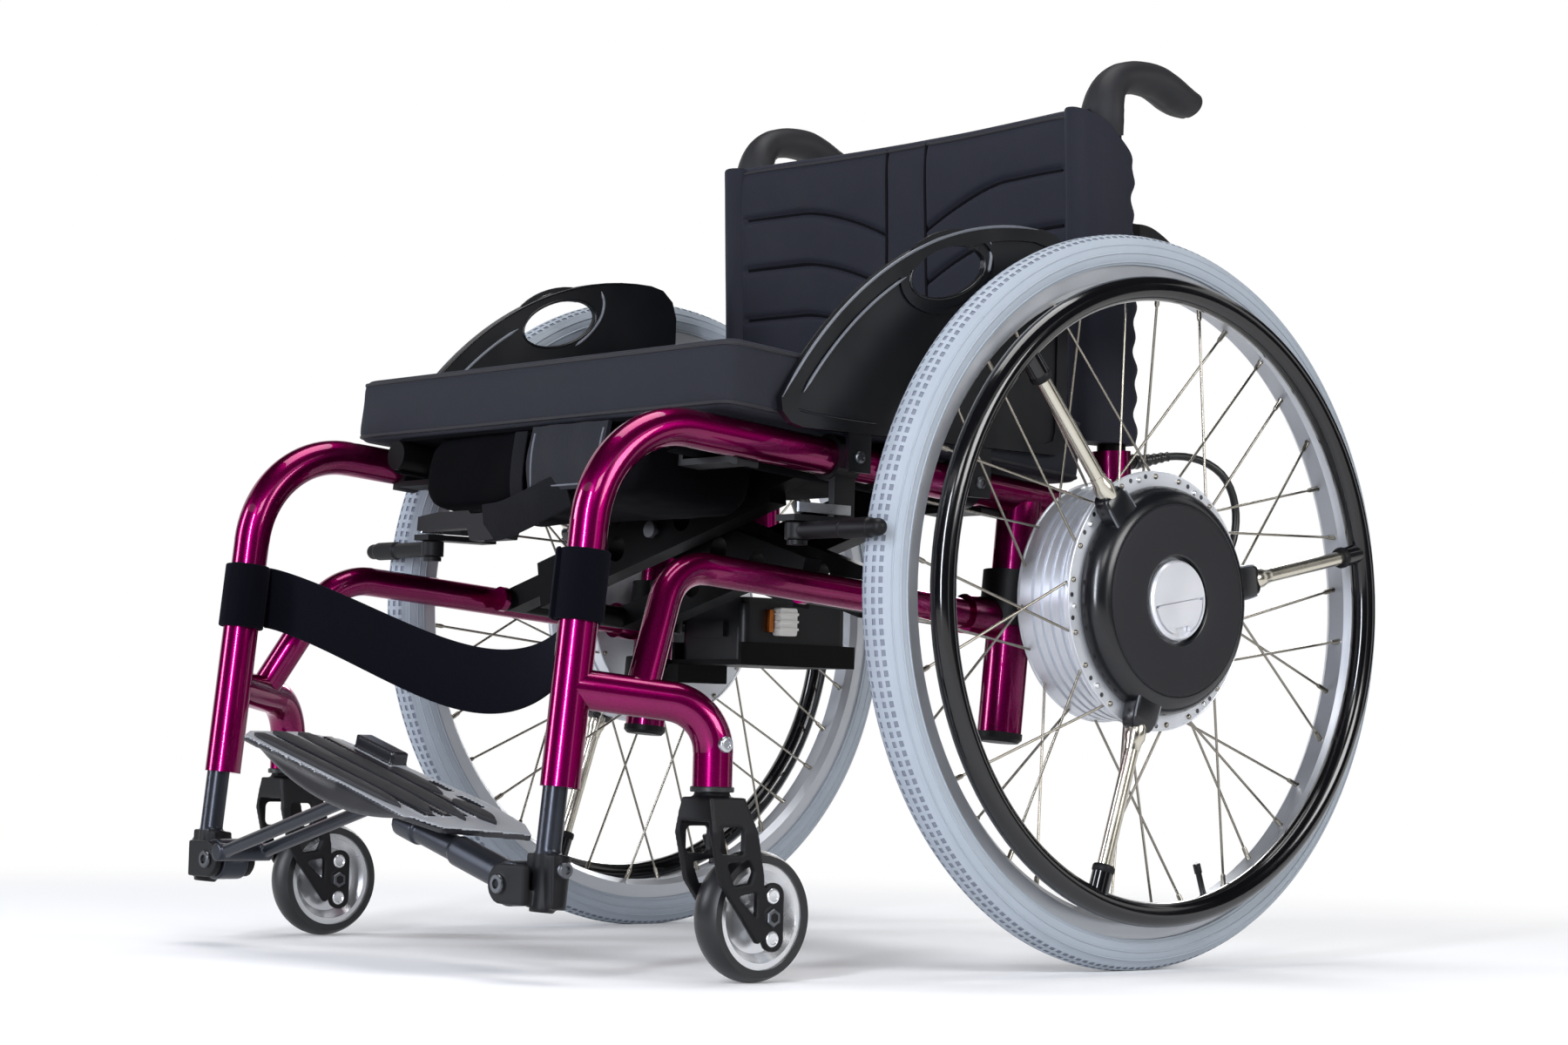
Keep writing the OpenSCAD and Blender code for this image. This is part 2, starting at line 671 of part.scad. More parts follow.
module motor_core() color([0.55, 0.3, 0.15]) at_wheel() translate([0, 0, stator_u]) {
    difference() {
        union() {
            cylinder(h = stator_w, d = drum_d * 0.58);
            for (i = [0 : tooth_n - 1]) rotate(i * 360 / tooth_n)
                translate([drum_d * 0.26, -4, 2])
                    cube([drum_d / 2 - drum_wall - air_gap - drum_d * 0.26, 8, stator_w - 4]);
        }
        translate([0, 0, -1]) cylinder(h = stator_w + 2, d = axle_d + 2 * seat);
        for (u = [-1, stator_w - 9]) translate([0, 0, u]) difference() {
            cylinder(h = 10, d = drum_d * 0.46);
            translate([0, 0, -1]) cylinder(h = 12, d = axle_d + 16);
        }
    }
}

// Handrim, its tie rods, and the torque cover they drive
cover_u = hub_out + gap;
lug_w = 30;
lug_r = cover_d / 2 + 18;
lug_u0 = 3;
rod_r0 = cover_d / 2 - 1;
handrim_r = handrim_d / 2;
ferrule_d = rod_d + 5;
ferrule_l = 28;
rod_r1 = handrim_r - handrim_tube / 2 - 12;
module at_rods() for (i = [0 : rod_n - 1]) rotate(rod_at - 90 + i * 360 / rod_n) children();
module handrim() color(black) at_wheel() translate([0, 0, handrim_out]) difference() {
    union() {
        rotate_extrude() translate([handrim_r, 0]) circle(d = handrim_tube);
        at_rods() translate([handrim_r - ferrule_l, 0, 0]) rotate([0, 90, 0])
            cylinder(h = ferrule_l, d = ferrule_d);
    }
    at_rods() translate([handrim_r - ferrule_l - 1, 0, 0]) rotate([0, 90, 0])
        cylinder(h = rod_r1 - handrim_r + ferrule_l + 1 + seat, d = rod_d + 2 * seat);
}
module tie_rods() color(silver) at_wheel() translate([0, 0, handrim_out]) at_rods()
    translate([rod_r0 + seat, 0, 0]) rotate([0, 90, 0]) cylinder(h = rod_r1 - rod_r0 - seat, d = rod_d);
cover_wall = 4;
cap_seat = cover_h - 5.5;
module hub_cover() color([0.16, 0.16, 0.17]) at_wheel() difference() {
    union() {
        translate([0, 0, cover_u]) rotate_extrude() polygon([
            [0, cap_seat - cover_wall], [nose_d / 2 + cover_wall, cap_seat - cover_wall],
            [nose_d / 2 + cover_wall, cover_h - cover_wall],
            [cover_face_d / 2 - 2, cover_h - cover_wall],
            [cover_d / 2 - cover_wall, cover_h / 2 - 2], [cover_d / 2 - cover_wall, 0],
            [cover_d / 2, 0], [cover_d / 2, cover_h / 2], [cover_face_d / 2, cover_h],
            [cap_d / 2 + seat, cover_h], [cap_d / 2 + seat, cap_seat], [0, cap_seat]]);
        translate([0, 0, cover_u]) difference() {
            cylinder(h = cap_seat - 1, d = nose_d + 2 * cover_wall);
            translate([0, 0, -1]) cylinder(h = cap_seat + 2, d = nose_d + 2 * run);
        }
        at_rods() translate([rod_r0 - 1, -lug_w / 2, cover_u + lug_u0])
            cube([lug_r - rod_r0 + 1, lug_w, 2 * (handrim_out - cover_u - lug_u0)]);
    }
    at_rods() translate([rod_r0, 0, handrim_out]) rotate([0, 90, 0])
        cylinder(h = lug_r, d = rod_d + 2 * seat);
}
// Centre cap with the half-moon release bail folded into it
cap_u = cover_u + cap_seat;
cap_h = cover_h - cap_seat + 1.5;
bail_t = 3;
bail_r = cap_d / 2 - 5;
bail_b = -3;
bail_turn = 10;
bail_u = cap_u + cap_h - bail_t / 2;
module bail_half(d) intersection() {
    circle(r = bail_r + d);
    translate([-cap_d, -cap_d + bail_b + d]) square([2 * cap_d, cap_d]);
}
module at_bail() rotate(bail_turn - 90) children();
module release_cap() color(silver) at_wheel() translate([0, 0, cap_u]) difference() {
    union() {
        cylinder(h = cap_h - 2, d = cap_d);
        translate([0, 0, cap_h - 2]) cylinder(h = 2, d1 = cap_d, d2 = cap_d - 3);
    }
    at_bail() translate([0, 0, cap_h - bail_t - gap]) linear_extrude(bail_t + gap + 1)
        bail_half(gap + bail_t / 2);
}
module release_bail() color([0.7, 0.72, 0.75]) at_wheel() at_bail() translate([0, 0, bail_u]) {
    difference() {
        translate([0, 0, -bail_t / 2]) linear_extrude(bail_t) bail_half(0);
        translate([-9, -bail_r - 1, -bail_t]) cube([18, 7, 2 * bail_t]);
    }
    translate([-bail_r + 4, bail_b, 0]) rotate([0, 90, 0])
        cylinder(h = 2 * bail_r - 8, d = bail_t);
}

// Caster
caster_r = caster_d / 2;
caster_x = stem_x;
module at_caster() translate(at(caster_x, -stem_ahead + caster_trail, caster_r))
    rotate([0, 90, 0]) children();
tyre_in = caster_r - 10;
crown_r = 22;
module caster_tyre() color(black) at_caster() rotate_extrude() intersection() {
    translate([tyre_in + seat, -caster_w / 2]) square([caster_r, caster_w]);
    translate([caster_r - crown_r, 0]) circle(r = crown_r);
}
bolt_d = 8;
module caster_rim() color(silver) at_caster() difference() {
    rotate_extrude() polygon([
        [bolt_d / 2 + run, -caster_w / 2 - 1], [11, -caster_w / 2 - 1], [12, -4], [28, -3],
        [tyre_in - 5, -caster_w / 2 + 2], [tyre_in, -caster_w / 2 + 2],
        [tyre_in, caster_w / 2 - 2], [tyre_in - 5, caster_w / 2 - 2], [28, 3], [12, 4],
        [11, caster_w / 2 + 1], [bolt_d / 2 + run, caster_w / 2 + 1]]);
}
leg_u = caster_w / 2 + 4;
leg_x = leg_u + leg_t;
collar_h = 8;
collar_d = 26;
crown_z = housing_h - caster_r - collar_h;
crown_t = 18;
shoulder = 26;
crown_x = 17;
hole_pitch = 16;
// Side view of the fork: swept back from the stem to an upright plate with three axle holes
module fork_side() difference() {
    union() {
        polygon([[-caster_trail - 16, crown_z], [-caster_trail + 19, crown_z],
            [-caster_trail + 28, crown_z - shoulder], [-7, 30], [-7, -16], [-12, -20], [-39, 13],
            [-50, 27], [-caster_trail - 17, crown_z - shoulder]]);
        translate([-12, -hole_pitch]) square([25, 2 * hole_pitch]);
        for (z = [-hole_pitch, hole_pitch]) translate([3, z]) circle(r = 10);
    }
    translate([-caster_trail - 9, crown_z - 42]) rounded(23, 20, 4);
    polygon([[-44, 40], [-22, 43], [-17, 34], [-21, 26], [-37, 24]]);
    polygon([[-33, 16], [-14, 19], [-14, 0]]);
    for (z = [-hole_pitch, hole_pitch]) translate([1, z]) circle(r = 4.2);
}
module fork_front() for (s = [0, 1]) mirror([s, 0])
    polygon([[-1, crown_z], [crown_x, crown_z], [leg_x, crown_z - shoulder], [leg_x, -30], [-1, -30]]);
module caster_fork() color(black) translate(at(caster_x, -stem_ahead + caster_trail, caster_r)) {
    difference() {
        intersection() {
            side_plate(-leg_x - 1, 2 * leg_x + 2) fork_side();
            translate([0, caster_r, 0]) rotate([90, 0, 0]) linear_extrude(3 * caster_r) fork_front();
        }
        translate([-leg_u, -2 * caster_r, -caster_r])
            cube([2 * leg_u, 3 * caster_r, caster_r + crown_z - crown_t]);
    }
    translate([-leg_x - 1, 0, 0]) rotate([0, 90, 0]) cylinder(h = 2 * leg_x + 2, d = bolt_d);
    for (x = [-leg_x - 3, leg_x]) translate([x, 0, 0]) rotate([0, 90, 0])
        cylinder(h = 3, d = 13, $fn = 6);
    translate([0, -caster_trail, crown_z]) cylinder(h = collar_h - gap, d = collar_d);
    translate([0, -caster_trail, crown_z]) cylinder(h = collar_h + stem_in - 2, d = stem_d);
}

// Brake bar on its upright pin
module brake_bar() color(black) translate(at(brake_x, -brake_ahead, brake_h)) difference() {
    union() {
        translate([0, 0, -eye_h / 2]) cylinder(h = eye_h, d = eye_d);
        rotate([0, 90, 0]) cylinder(h = brake_l - brake_d / 2, d1 = brake_d, d2 = brake_d);
        translate([brake_l - brake_d / 2, 0, 0]) sphere(d = brake_d);
        translate([brake_l * 0.55, 0, 0]) rotate([0, 90, 0]) cylinder(h = brake_l * 0.3, d = brake_d + 2.4);
    }
    translate([0, 0, -eye_h]) cylinder(h = 2 * eye_h, d = brake_pin + 2 * run);
}

// Cross brace: each half has two stepped arms, a pivot sleeve below and a seat rail above.
// Half a reaches from the right pivot to the left rail, half b nests inside it the other way.
brace_rise = low_drop + rail_z;
mid_z = -low_drop + brace_rise * pivot_x / (pivot_x + rail_x);
arm_len = norm([pivot_x + rail_x, brace_rise]);
arm_neck = 20;
arm_step = 46;
pin_d = 8;
module brace_arm() rotate([0, -atan2(brace_rise, pivot_x + rail_x), 0]) difference() {
    union() {
        translate([0, -brace_d / 2, -arm_neck / 2]) cube([arm_len, brace_d, arm_neck]);
        translate([arm_step, -brace_d / 2, -brace_tall / 2])
            cube([arm_len - 2 * arm_step, brace_d, brace_tall]);
    }
    for (k = [0.26, 0.39, 0.61, 0.74]) translate([arm_len * k, brace_d, 0]) rotate([90, 0, 0])
        cylinder(h = 2 * brace_d, d = brace_tall - 20);
}
module brace(spread, hole) difference() {
    union() {
        translate([rail_x, 0, rail_z]) rotate([-90, 0, 0]) cylinder(h = rail_l, d = rail_d);
        translate([-pivot_x, brace_y0, -low_drop]) rotate([-90, 0, 0])
            cylinder(h = brace_y1 - brace_y0, d = pivot_d + 10);
        for (s = [-1, 1]) translate([-pivot_x, brace_back + s * spread / 2, -low_drop]) brace_arm();
    }
    translate([-pivot_x, -1, -low_drop]) rotate([-90, 0, 0])
        cylinder(h = rail_l + 2, d = pivot_d + 2 * run);
    translate([0, 0, mid_z]) rotate([-90, 0, 0]) cylinder(h = rail_l, d = pin_d + 2 * hole);
}
nest = brace_spread - 2 * brace_d - 20;
module brace_bar_a() color(black) on_seat_frame() brace(brace_spread, seat);
module brace_bar_b() color(black) on_seat_frame() other_side() brace(nest, run);
module brace_pins() color(silver) on_seat_frame() for (s = [-1, 1])
    translate([0, brace_back + s * (brace_spread + nest) / 4, mid_z]) rotate([-90, 0, 0])
        translate([0, 0, -(brace_spread - nest) / 4 - brace_d / 2 - 4]) {
            cylinder(h = (brace_spread - nest) / 2 + brace_d + 8, d = pin_d);
            for (u = [-4, (brace_spread - nest) / 2 + brace_d + 8])
                translate([0, 0, u]) cylinder(h = 4, d = pin_d + 6);
        }

// Footrest: the near arm carries the plate, the far links rise under it
module at_foot() translate(at(foot_x, foot_y, foot_h)) rotate([0, plate_slope, 0])
    mirror([1, 0, 0]) children();
module foot_eye() rotate([90, 0, 0]) translate([0, 0, -eye_w / 2]) difference() {
    cylinder(h = eye_w, d = foot_eye);
    translate([0, 0, -1]) cylinder(h = eye_w + 2, d = foot_pin + 2 * run);
}
module foot_arm() color(black) at_foot() {
    difference() {
        union() {
            foot_eye();
            translate([foot_eye / 2 - 4, 0, 0]) rotate([0, 90, 0])
                cylinder(h = arm_l - foot_eye / 2 + 4, d = arm_d - 4);
            translate([foot_eye / 2 - 2, 0, 0]) rotate([0, 90, 0]) cylinder(h = 66, d = arm_d);
            translate([arm_l - 26, 0, 0]) rotate([0, 90, 0]) cylinder(h = 26, d = arm_d);
        }
        rotate([90, 0, 0]) cylinder(h = 2 * eye_w, d = foot_pin + 2 * run, center = true);
    }
}
// Leaf-shaped plate with a lens-shaped front apron, long treads and a latch at its rear
plate_s0 = 64;
plate_s1 = plate_s0 + plate_l;
plate_n = arm_d / 2 + seat;
apron_s0 = plate_s0 + 44;
apron_r = (pow((plate_s1 - apron_s0) / 2, 2) + pow(lip_h, 2)) / (2 * lip_h);
tread_n = 4;
plate_out = [[plate_s0, 53], [plate_s0 + 26, 66], [plate_s0 + 85, 71], [plate_s1 - 97, 60],
    [plate_s1 - 20, 48], [plate_s1, 22], [plate_s1, -30], [plate_s1 - 12, -42],
    [plate_s0 + 112, -32], [plate_s0 + 55, -31], [plate_s0 + 21, -18]];
slot_w = 9;
module footplate() color(black) at_foot() difference() {
    union() {
        translate([0, 0, plate_n]) linear_extrude(plate_t) polygon(plate_out);
        translate([0, -28, plate_n + plate_t]) rotate([90, 0, 0]) linear_extrude(6) intersection() {
            translate([(plate_s1 + apron_s0) / 2, apron_r - lip_h]) circle(r = apron_r);
            translate([apron_s0, -lip_h]) square([plate_s1 - apron_s0, lip_h - 0.5]);
        }
        for (k = [0 : tread_n - 1]) translate([plate_s0 + 44, -16 + 15 * k, plate_n + plate_t - 1])
            cube([plate_l - 62, slot_w, 3]);
        translate([plate_s1 - 100, 44, plate_n + plate_t - 1]) cube([56, 16, 12]);
    }
    for (k = [0, 1]) translate([plate_s0 + 72 + 44 * k, 52, plate_n - 1])
        linear_extrude(plate_t + 2) rounded(34, slot_w, 4);
}
// Yoke with two link bars and a cross bar under the plate
link_gap = 39;
module foot_links() color(black) other_side() at_foot() difference() {
    union() {
        foot_eye();
        translate([foot_eye / 2 - 6, -6, -6]) cube([18, 12, 12]);
        translate([foot_eye / 2 + 9, 0, 0]) rotate([90, 0, 0])
            cylinder(h = link_gap + link_d + 2, d = link_d + 4, center = true);
        for (s = [-1, 1]) translate([foot_eye / 2 + 9, s * link_gap / 2, 0]) rotate([0, 90, 0])
            cylinder(h = link_l - foot_eye / 2 - 9, d = link_d);
        translate([link_l, 0, 0]) rotate([90, 0, 0])
            cylinder(h = link_gap + link_d + 2, d = link_d + 3, center = true);
    }
    rotate([90, 0, 0]) cylinder(h = 2 * eye_w, d = foot_pin + 2 * run, center = true);
}

// Battery and its tray, hung on the right axle tube
batt_z = 256;
batt_in = 34;
batt_y = -60;
batt_round = 10;
module rounded(w, l, r) {
    translate([r, 0]) square([w - 2 * r, l]);
    translate([0, r]) square([w, l - 2 * r]);
    for (x = [r, w - r]) for (y = [r, l - r]) translate([x, y]) circle(r = r);
}
batt_x = fx - batt_in - batt_w;
module battery_pack() color(black) other_side() translate(at(batt_x, batt_y, batt_z)) {
    linear_extrude(batt_h - 6) rounded(batt_w, batt_l, batt_round);
    translate([4, 4, batt_h - 6]) linear_extrude(6) rounded(batt_w - 8, batt_l - 8, batt_round - 2);
    translate([batt_w / 2 - 22, -5, batt_h / 2 - 8]) cube([44, 6, 14]);
}
tray_t = 5;
module battery_tray() color([0.12, 0.12, 0.13]) other_side() difference() {
    union() {
        translate(at(batt_x - 4, batt_y - 6, batt_z - tray_t - seat)) cube([batt_w + 8, batt_l + 12, tray_t]);
        for (x = [batt_x - 4, batt_x + batt_w + seat])
            translate(at(x, batt_y - 6, batt_z - tray_t - seat)) cube([4 - seat, batt_l + 12, tray_t + 16]);
        bar(at(fx, axle_tube_y(batt_z - 30), batt_z - 30), at(fx, axle_tube_y(batt_z), batt_z),
            axle_tube_d + 12);
        translate(at(batt_x + batt_w - 20, axle_tube_y(batt_z) - 12, batt_z - 22))
            cube([fx - batt_x - batt_w + 20, 30, 14]);
        translate(at(batt_x + batt_w - 20, axle_tube_y(batt_z) - 12, batt_z - 22))
            cube([16, 60, 22 - tray_t]);
    }
    axle_tube_solid(axle_tube_d + 2 * seat);
}

// Soft pieces

// Cushion: flat-sided box with soft corners, sides drawn in at the middle and a crowned top
cushion_z = rail_z + sleeve_r + sling_t + 2 * rest;
back_y = 18;
cushion_gap = 19;
cushion_y = seat_ahead + cane_back - back_y - back_t - cushion_gap - cushion_l;
corner_r = 14;
corner_n = 5;
function cushion_ring(k, z) = let (r = corner_r + k / 4) [for (c = [0 : 3]) for (i = [0 : corner_n])
    let (a = 90 * (c + i / corner_n), sx = c == 0 || c == 3 ? 1 : -1, sy = c < 2 ? 1 : -1)
    [sx * (cushion_w / 2 - k - r) + r * cos(a),
     cushion_y + cushion_l / 2 + sy * (cushion_l / 2 - k - r) + r * sin(a), z]];
module seat_cushion() color(cloth) on_seat_frame() translate([0, 0, cushion_z])
    skin([cushion_ring(60, 0), cushion_ring(6, 0), cushion_ring(1, 2), cushion_ring(0, 6),
        cushion_ring(2, cushion_t * 0.32), cushion_ring(2.6, cushion_t * 0.5),
        cushion_ring(2, cushion_t * 0.68), cushion_ring(0, cushion_t - 6),
        cushion_ring(1, cushion_t - 2), cushion_ring(6, cushion_t + 0.6),
        cushion_ring(34, cushion_t + crown * 0.4), cushion_ring(80, cushion_t + crown * 0.75),
        cushion_ring(140, cushion_t + crown)]);

// Sling: sheet over the rails, half a sleeve outboard of each rail, a pouch under the front
// with its flap, and the belt that hangs from it with its buckle
flap = [10, 100, 52];
pouch = [300, seat_ahead * 0.295, 62];
pouch_r = 24;
belt_w = 34;
module seat_sling() color(cloth) on_seat_frame() {
    across(6, rail_l - 12) {
        for (s = [0, 1]) mirror([s, 0]) intersection() {
            translate([rail_x, rail_z]) difference() {
                circle(r = sleeve_r + sling_t);
                circle(r = sleeve_r);
            }
            translate([rail_x - 2, rail_z - 2 * rail_d]) square([2 * rail_d, 4 * rail_d]);
        }
        translate([-rail_x, rail_z + sleeve_r + rest]) square([2 * rail_x, sling_t]);
    }
    across(8, pouch[1]) translate([-pouch[0] / 2, rail_z + sleeve_r + 1 - pouch[2]])
        rounded(pouch[0], pouch[2], pouch_r);
    translate([flap[0], 2, rail_z + sleeve_r + 1 - flap[2]]) cube([flap[1], 7, flap[2]]);
    across(4, 3) polygon([[flap[0] + 20, -34], [flap[0] + 20 + belt_w, -34], [28, -58], [-6, -58]]);
    translate([-147, 3, -64]) cube([160, 13, 15]);
    translate([-70, 4, -76]) cube([55, 11, 14]);
}

// Backrest panel: quilted front with a plain middle band and arched channels at each side
back_half = 230;
back_bow = 18;
back_rest = 0.3;
channel_n = 5;
channel_h = 4.5;
band = 26;
function bow(x) = back_bow * cos(90 * x / back_half);
function arch(x, k) = back_top - 54 - k * 48.5 - 32 * pow(max(0, 1 - (abs(x) - band) / 110), 1.6);
function channel(x, z) = abs(x) < band || abs(x) > back_half - 12 ? 0
    : max([for (k = [0 : channel_n - 1]) exp(-pow((z - arch(x, k)) / 5, 2))]);
function seam(x) = exp(-pow((abs(x) - band) / 5, 2));
function front_face(x, z) = back_t - channel_h * max(channel(x, z), seam(x))
    - 8 * pow(abs(x) / back_half, 14) - 7 * pow(abs(2 * (z - back_low) / (back_top - back_low) - 1), 16);
cols = 24;
rows = 34;
function back_ring(z) = concat(
    [for (i = [0 : cols]) let (x = back_half * (2 * i / cols - 1))
        at(x, cane_y(z) - back_y + bow(x) - front_face(x, z), z)],
    [for (i = [4 : -1 : -4]) let (x = back_half * i / 4) at(x, cane_y(z) - back_y + bow(x), z)]);
// A stretch of sleeve round a post, which the panel lies against
module back_sleeve(z0, z1) difference() {
    bar(at(cane_x, cane_y(z0), z0), at(cane_x, cane_y(z1), z1), 2 * (back_y - back_rest));
    bar(at(cane_x, cane_y(z0 - 1), z0 - 1), at(cane_x, cane_y(z1 + 1), z1 + 1), cane_d + 2 * gap);
}
module back_upholstery() color(cloth) {
    skin([for (j = [0 : rows]) back_ring(back_low + (back_top - back_low) * j / rows)]);
    for (s = [0, 1]) mirror([s, 0, 0]) {
        back_sleeve(back_low, clamp_z - 6);
        back_sleeve(clamp_z + clamp_h + 6, back_top - 22);
    }
}

// Calf strap: a wrap round each front tube and a band that sags between them
strap_w = 50;
strap_t = 3;
strap_z = 294;
strap_sag = 70;
strap_bow = 44;
strap_steps = 28;
function strap_c(t) = at(strap_x * (2 * t - 1), front_y(strap_z) + tube_d / 2 + 5 + strap_bow * sin(180 * t),
    strap_z - strap_sag * sin(180 * t));
strap_x = fx - 2;
function strap_ring(t) = let (c = strap_c(t), w = [0, 0.3 * sin(180 * t), 1], n = [0, 1, -0.3 * sin(180 * t)])
    [c + w * strap_w / 2 - n * strap_t / 2, c - w * strap_w / 2 - n * strap_t / 2,
     c - w * strap_w / 2 + n * strap_t / 2, c + w * strap_w / 2 + n * strap_t / 2];
module calf_strap() color(cloth) {
    skin([for (i = [0 : strap_steps]) strap_ring(i / strap_steps)]);
    for (s = [0, 1]) mirror([s, 0, 0]) difference() {
        bar(at(fx, front_y(strap_z - strap_w / 2), strap_z - strap_w / 2),
            at(fx, front_y(strap_z + strap_w / 2), strap_z + strap_w / 2), tube_d + 6);
        bar(at(fx, front_y(strap_z - strap_w), strap_z - strap_w),
            at(fx, front_y(strap_z + strap_w), strap_z + strap_w), tube_d + 2 * gap);
    }
}

// Motor lead from a gland on the frame to one on the hub's inner disc, one swept tube
lead_d = 7;
lead_sides = 10;
gland_d = 13;
gland_z = seat_h + 14;
gland_y = cane_y(gland_z) + socket_d / 2 + rest;
gland_l = 8;
disc_d = 96;
disc_u = wx - disc_in + disc_t / 2;
disc_z = wheel_r + 1;
disc_y = disc_d / 2 + 10;
function lead_z(k) = disc_z + k * (gland_z - disc_z);
lead = [[cane_x, gland_y + gland_l + rest, gland_z], [231.5, 99, lead_z(1.005)], [235, 112, lead_z(1.028)],
    [242, 127, lead_z(1.055)], [251, 143, lead_z(1.055)], [260, 158, lead_z(1.016)],
    [266.5, 171.5, lead_z(0.933)], [269.5, 181, lead_z(0.803)], [270.5, 184.5, lead_z(0.646)],
    [271, 180, lead_z(0.48)], [272, 165, lead_z(0.319)], [273, 142, lead_z(0.185)],
    [274, 117, lead_z(0.087)], [274, 92, lead_z(0.024)], [274, 72, lead_z(0.003)],
    [disc_u, disc_y + rest, disc_z]];
function lead_dir(i) = i == 0 ? [0, 1, 0] : i == len(lead) - 1 ? [0, -1, 0]
    : unit(lead[i + 1] - lead[i - 1]);
function lead_ring(i) = let (d = lead_dir(i), e = unit(cross(d, [0, 0.3, 1])), f = cross(d, e))
    [for (k = [0 : lead_sides - 1]) at(0, 0, 0) + lead[i]
        + (e * cos(360 * k / lead_sides) + f * sin(360 * k / lead_sides)) * lead_d / 2];
module left_motor_cable() color(black)
    skin([for (i = [0 : len(lead) - 1]) lead_ring(i)]);
module frame_gland() color(black) translate(at(cane_x, gland_y, gland_z)) rotate([-90, 0, 0])
    cylinder(h = gland_l, d = gland_d);
module disc_gland() color([0.45, 0.46, 0.48]) translate(at(disc_u, disc_y - 14, disc_z))
    rotate([-90, 0, 0]) cylinder(h = 14, d = gland_d - 1);

right_upper_tube();
right_lower_frame();
right_axle_tube();
right_back_post();
right_push_grip();
right_side_guard();
right_foot_extension();
right_frame_fittings();
right_axle_set();
right_motor_core();
battery_tray();
battery_pack();
left_upper_tube();
left_lower_frame();
left_axle_tube();
left_back_post();
left_push_grip();
left_side_guard();
left_foot_extension();
left_frame_fittings();
left_axle_set();
left_motor_core();
left_motor_cable();
brace_bar_a();
brace_bar_b();
brace_pins();
seat_cushion();
seat_sling();
back_upholstery();
calf_strap();
left_tyre();
left_rim();
left_spokes();
left_hub_shell();
right_tyre();
right_rim();
right_spokes();
right_hub_shell();
left_handrim();
left_tie_rods();
left_hub_cover();
left_release_cap();
left_release_bail();
right_handrim();
right_tie_rods();
right_hub_cover();
right_release_cap();
right_release_bail();
left_caster_fork();
left_caster_rim();
left_caster_tyre();
right_caster_fork();
right_caster_rim();
right_caster_tyre();
left_brake_bar();
right_brake_bar();
left_foot_arm();
footplate();
right_foot_links();

// The two sides
module left_upper_tube() upper_tube();
module right_upper_tube() other_side() upper_tube();
module left_lower_frame() lower_frame();
module right_lower_frame() other_side() lower_frame();
module left_axle_tube() axle_tube();
module right_axle_tube() other_side() axle_tube();
module left_back_post() back_post();
module right_back_post() other_side() back_post();
module left_push_grip() push_grip();
module right_push_grip() other_side() push_grip();
module left_side_guard() side_guard();
module right_side_guard() other_side() side_guard();
module left_foot_extension() foot_extension();
module right_foot_extension() other_side() foot_extension();
module left_frame_fittings() {
    frame_fittings();
    frame_gland();
}
module right_frame_fittings() other_side() frame_fittings();
module left_axle_set() {
    axle_set();
    disc_gland();
}
module right_axle_set() other_side() axle_set();
module left_motor_core() motor_core();
module right_motor_core() other_side() motor_core();
module left_tyre() tyre();
module right_tyre() other_side() tyre();
module left_rim() rim();
module right_rim() other_side() rim();
module left_spokes() spokes();
module right_spokes() other_side() spokes();
module left_hub_shell() hub_shell();
module right_hub_shell() other_side() hub_shell();
module left_handrim() handrim();
module right_handrim() other_side() handrim();
module left_tie_rods() tie_rods();
module right_tie_rods() other_side() tie_rods();
module left_hub_cover() hub_cover();
module right_hub_cover() other_side() hub_cover();
module left_release_cap() release_cap();
module right_release_cap() other_side() release_cap();
module left_release_bail() release_bail();
module right_release_bail() other_side() release_bail();
module left_caster_fork() caster_fork();
module right_caster_fork() other_side() caster_fork();
module left_caster_rim() caster_rim();
module right_caster_rim() other_side() caster_rim();
module left_caster_tyre() caster_tyre();
module right_caster_tyre() other_side() caster_tyre();
module left_brake_bar() brake_bar();
module right_brake_bar() other_side() brake_bar();
module left_foot_arm() foot_arm();
module right_foot_links() foot_links();
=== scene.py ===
"""Looks of a folding wheelchair with power-assist wheels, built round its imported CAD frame."""
import math

import bpy
import numpy as np
from mathutils import Matrix, Vector, noise
from mathutils.bvhtree import BVHTree


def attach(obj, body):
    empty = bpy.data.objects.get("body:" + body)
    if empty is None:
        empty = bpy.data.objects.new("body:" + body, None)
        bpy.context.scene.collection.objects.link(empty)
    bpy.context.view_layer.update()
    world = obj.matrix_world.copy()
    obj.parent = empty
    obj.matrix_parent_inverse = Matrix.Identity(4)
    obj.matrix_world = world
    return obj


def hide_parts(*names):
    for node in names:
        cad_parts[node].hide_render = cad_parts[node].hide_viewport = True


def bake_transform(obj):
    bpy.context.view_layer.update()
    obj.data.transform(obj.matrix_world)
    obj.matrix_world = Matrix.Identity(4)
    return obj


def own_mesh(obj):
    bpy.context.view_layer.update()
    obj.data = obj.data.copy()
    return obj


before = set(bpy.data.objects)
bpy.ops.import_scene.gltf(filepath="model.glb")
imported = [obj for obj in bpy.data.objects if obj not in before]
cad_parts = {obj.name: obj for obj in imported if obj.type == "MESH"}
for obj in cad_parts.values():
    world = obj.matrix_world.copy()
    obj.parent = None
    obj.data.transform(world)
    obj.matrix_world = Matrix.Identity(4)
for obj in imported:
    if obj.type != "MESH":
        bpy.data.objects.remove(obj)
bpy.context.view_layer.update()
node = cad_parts
SIDES = (("left", 1), ("right", -1))

# Sizes that the CAD source also uses, in millimetres
MM = 0.001
AXLE_BACK = 140.3
FRAME_X = 235.0
WHEEL_X, WHEEL_R = 322.0, 305.0
SEAT_AHEAD, SEAT_H, SEAT_TILT = 400.0, 419.0, math.radians(4.5)
CANE_X = 231.0
STEM_X, STEM_AHEAD, CASTER_TRAIL, CASTER_R = 291.0, 432.0, 42.0, 50.0


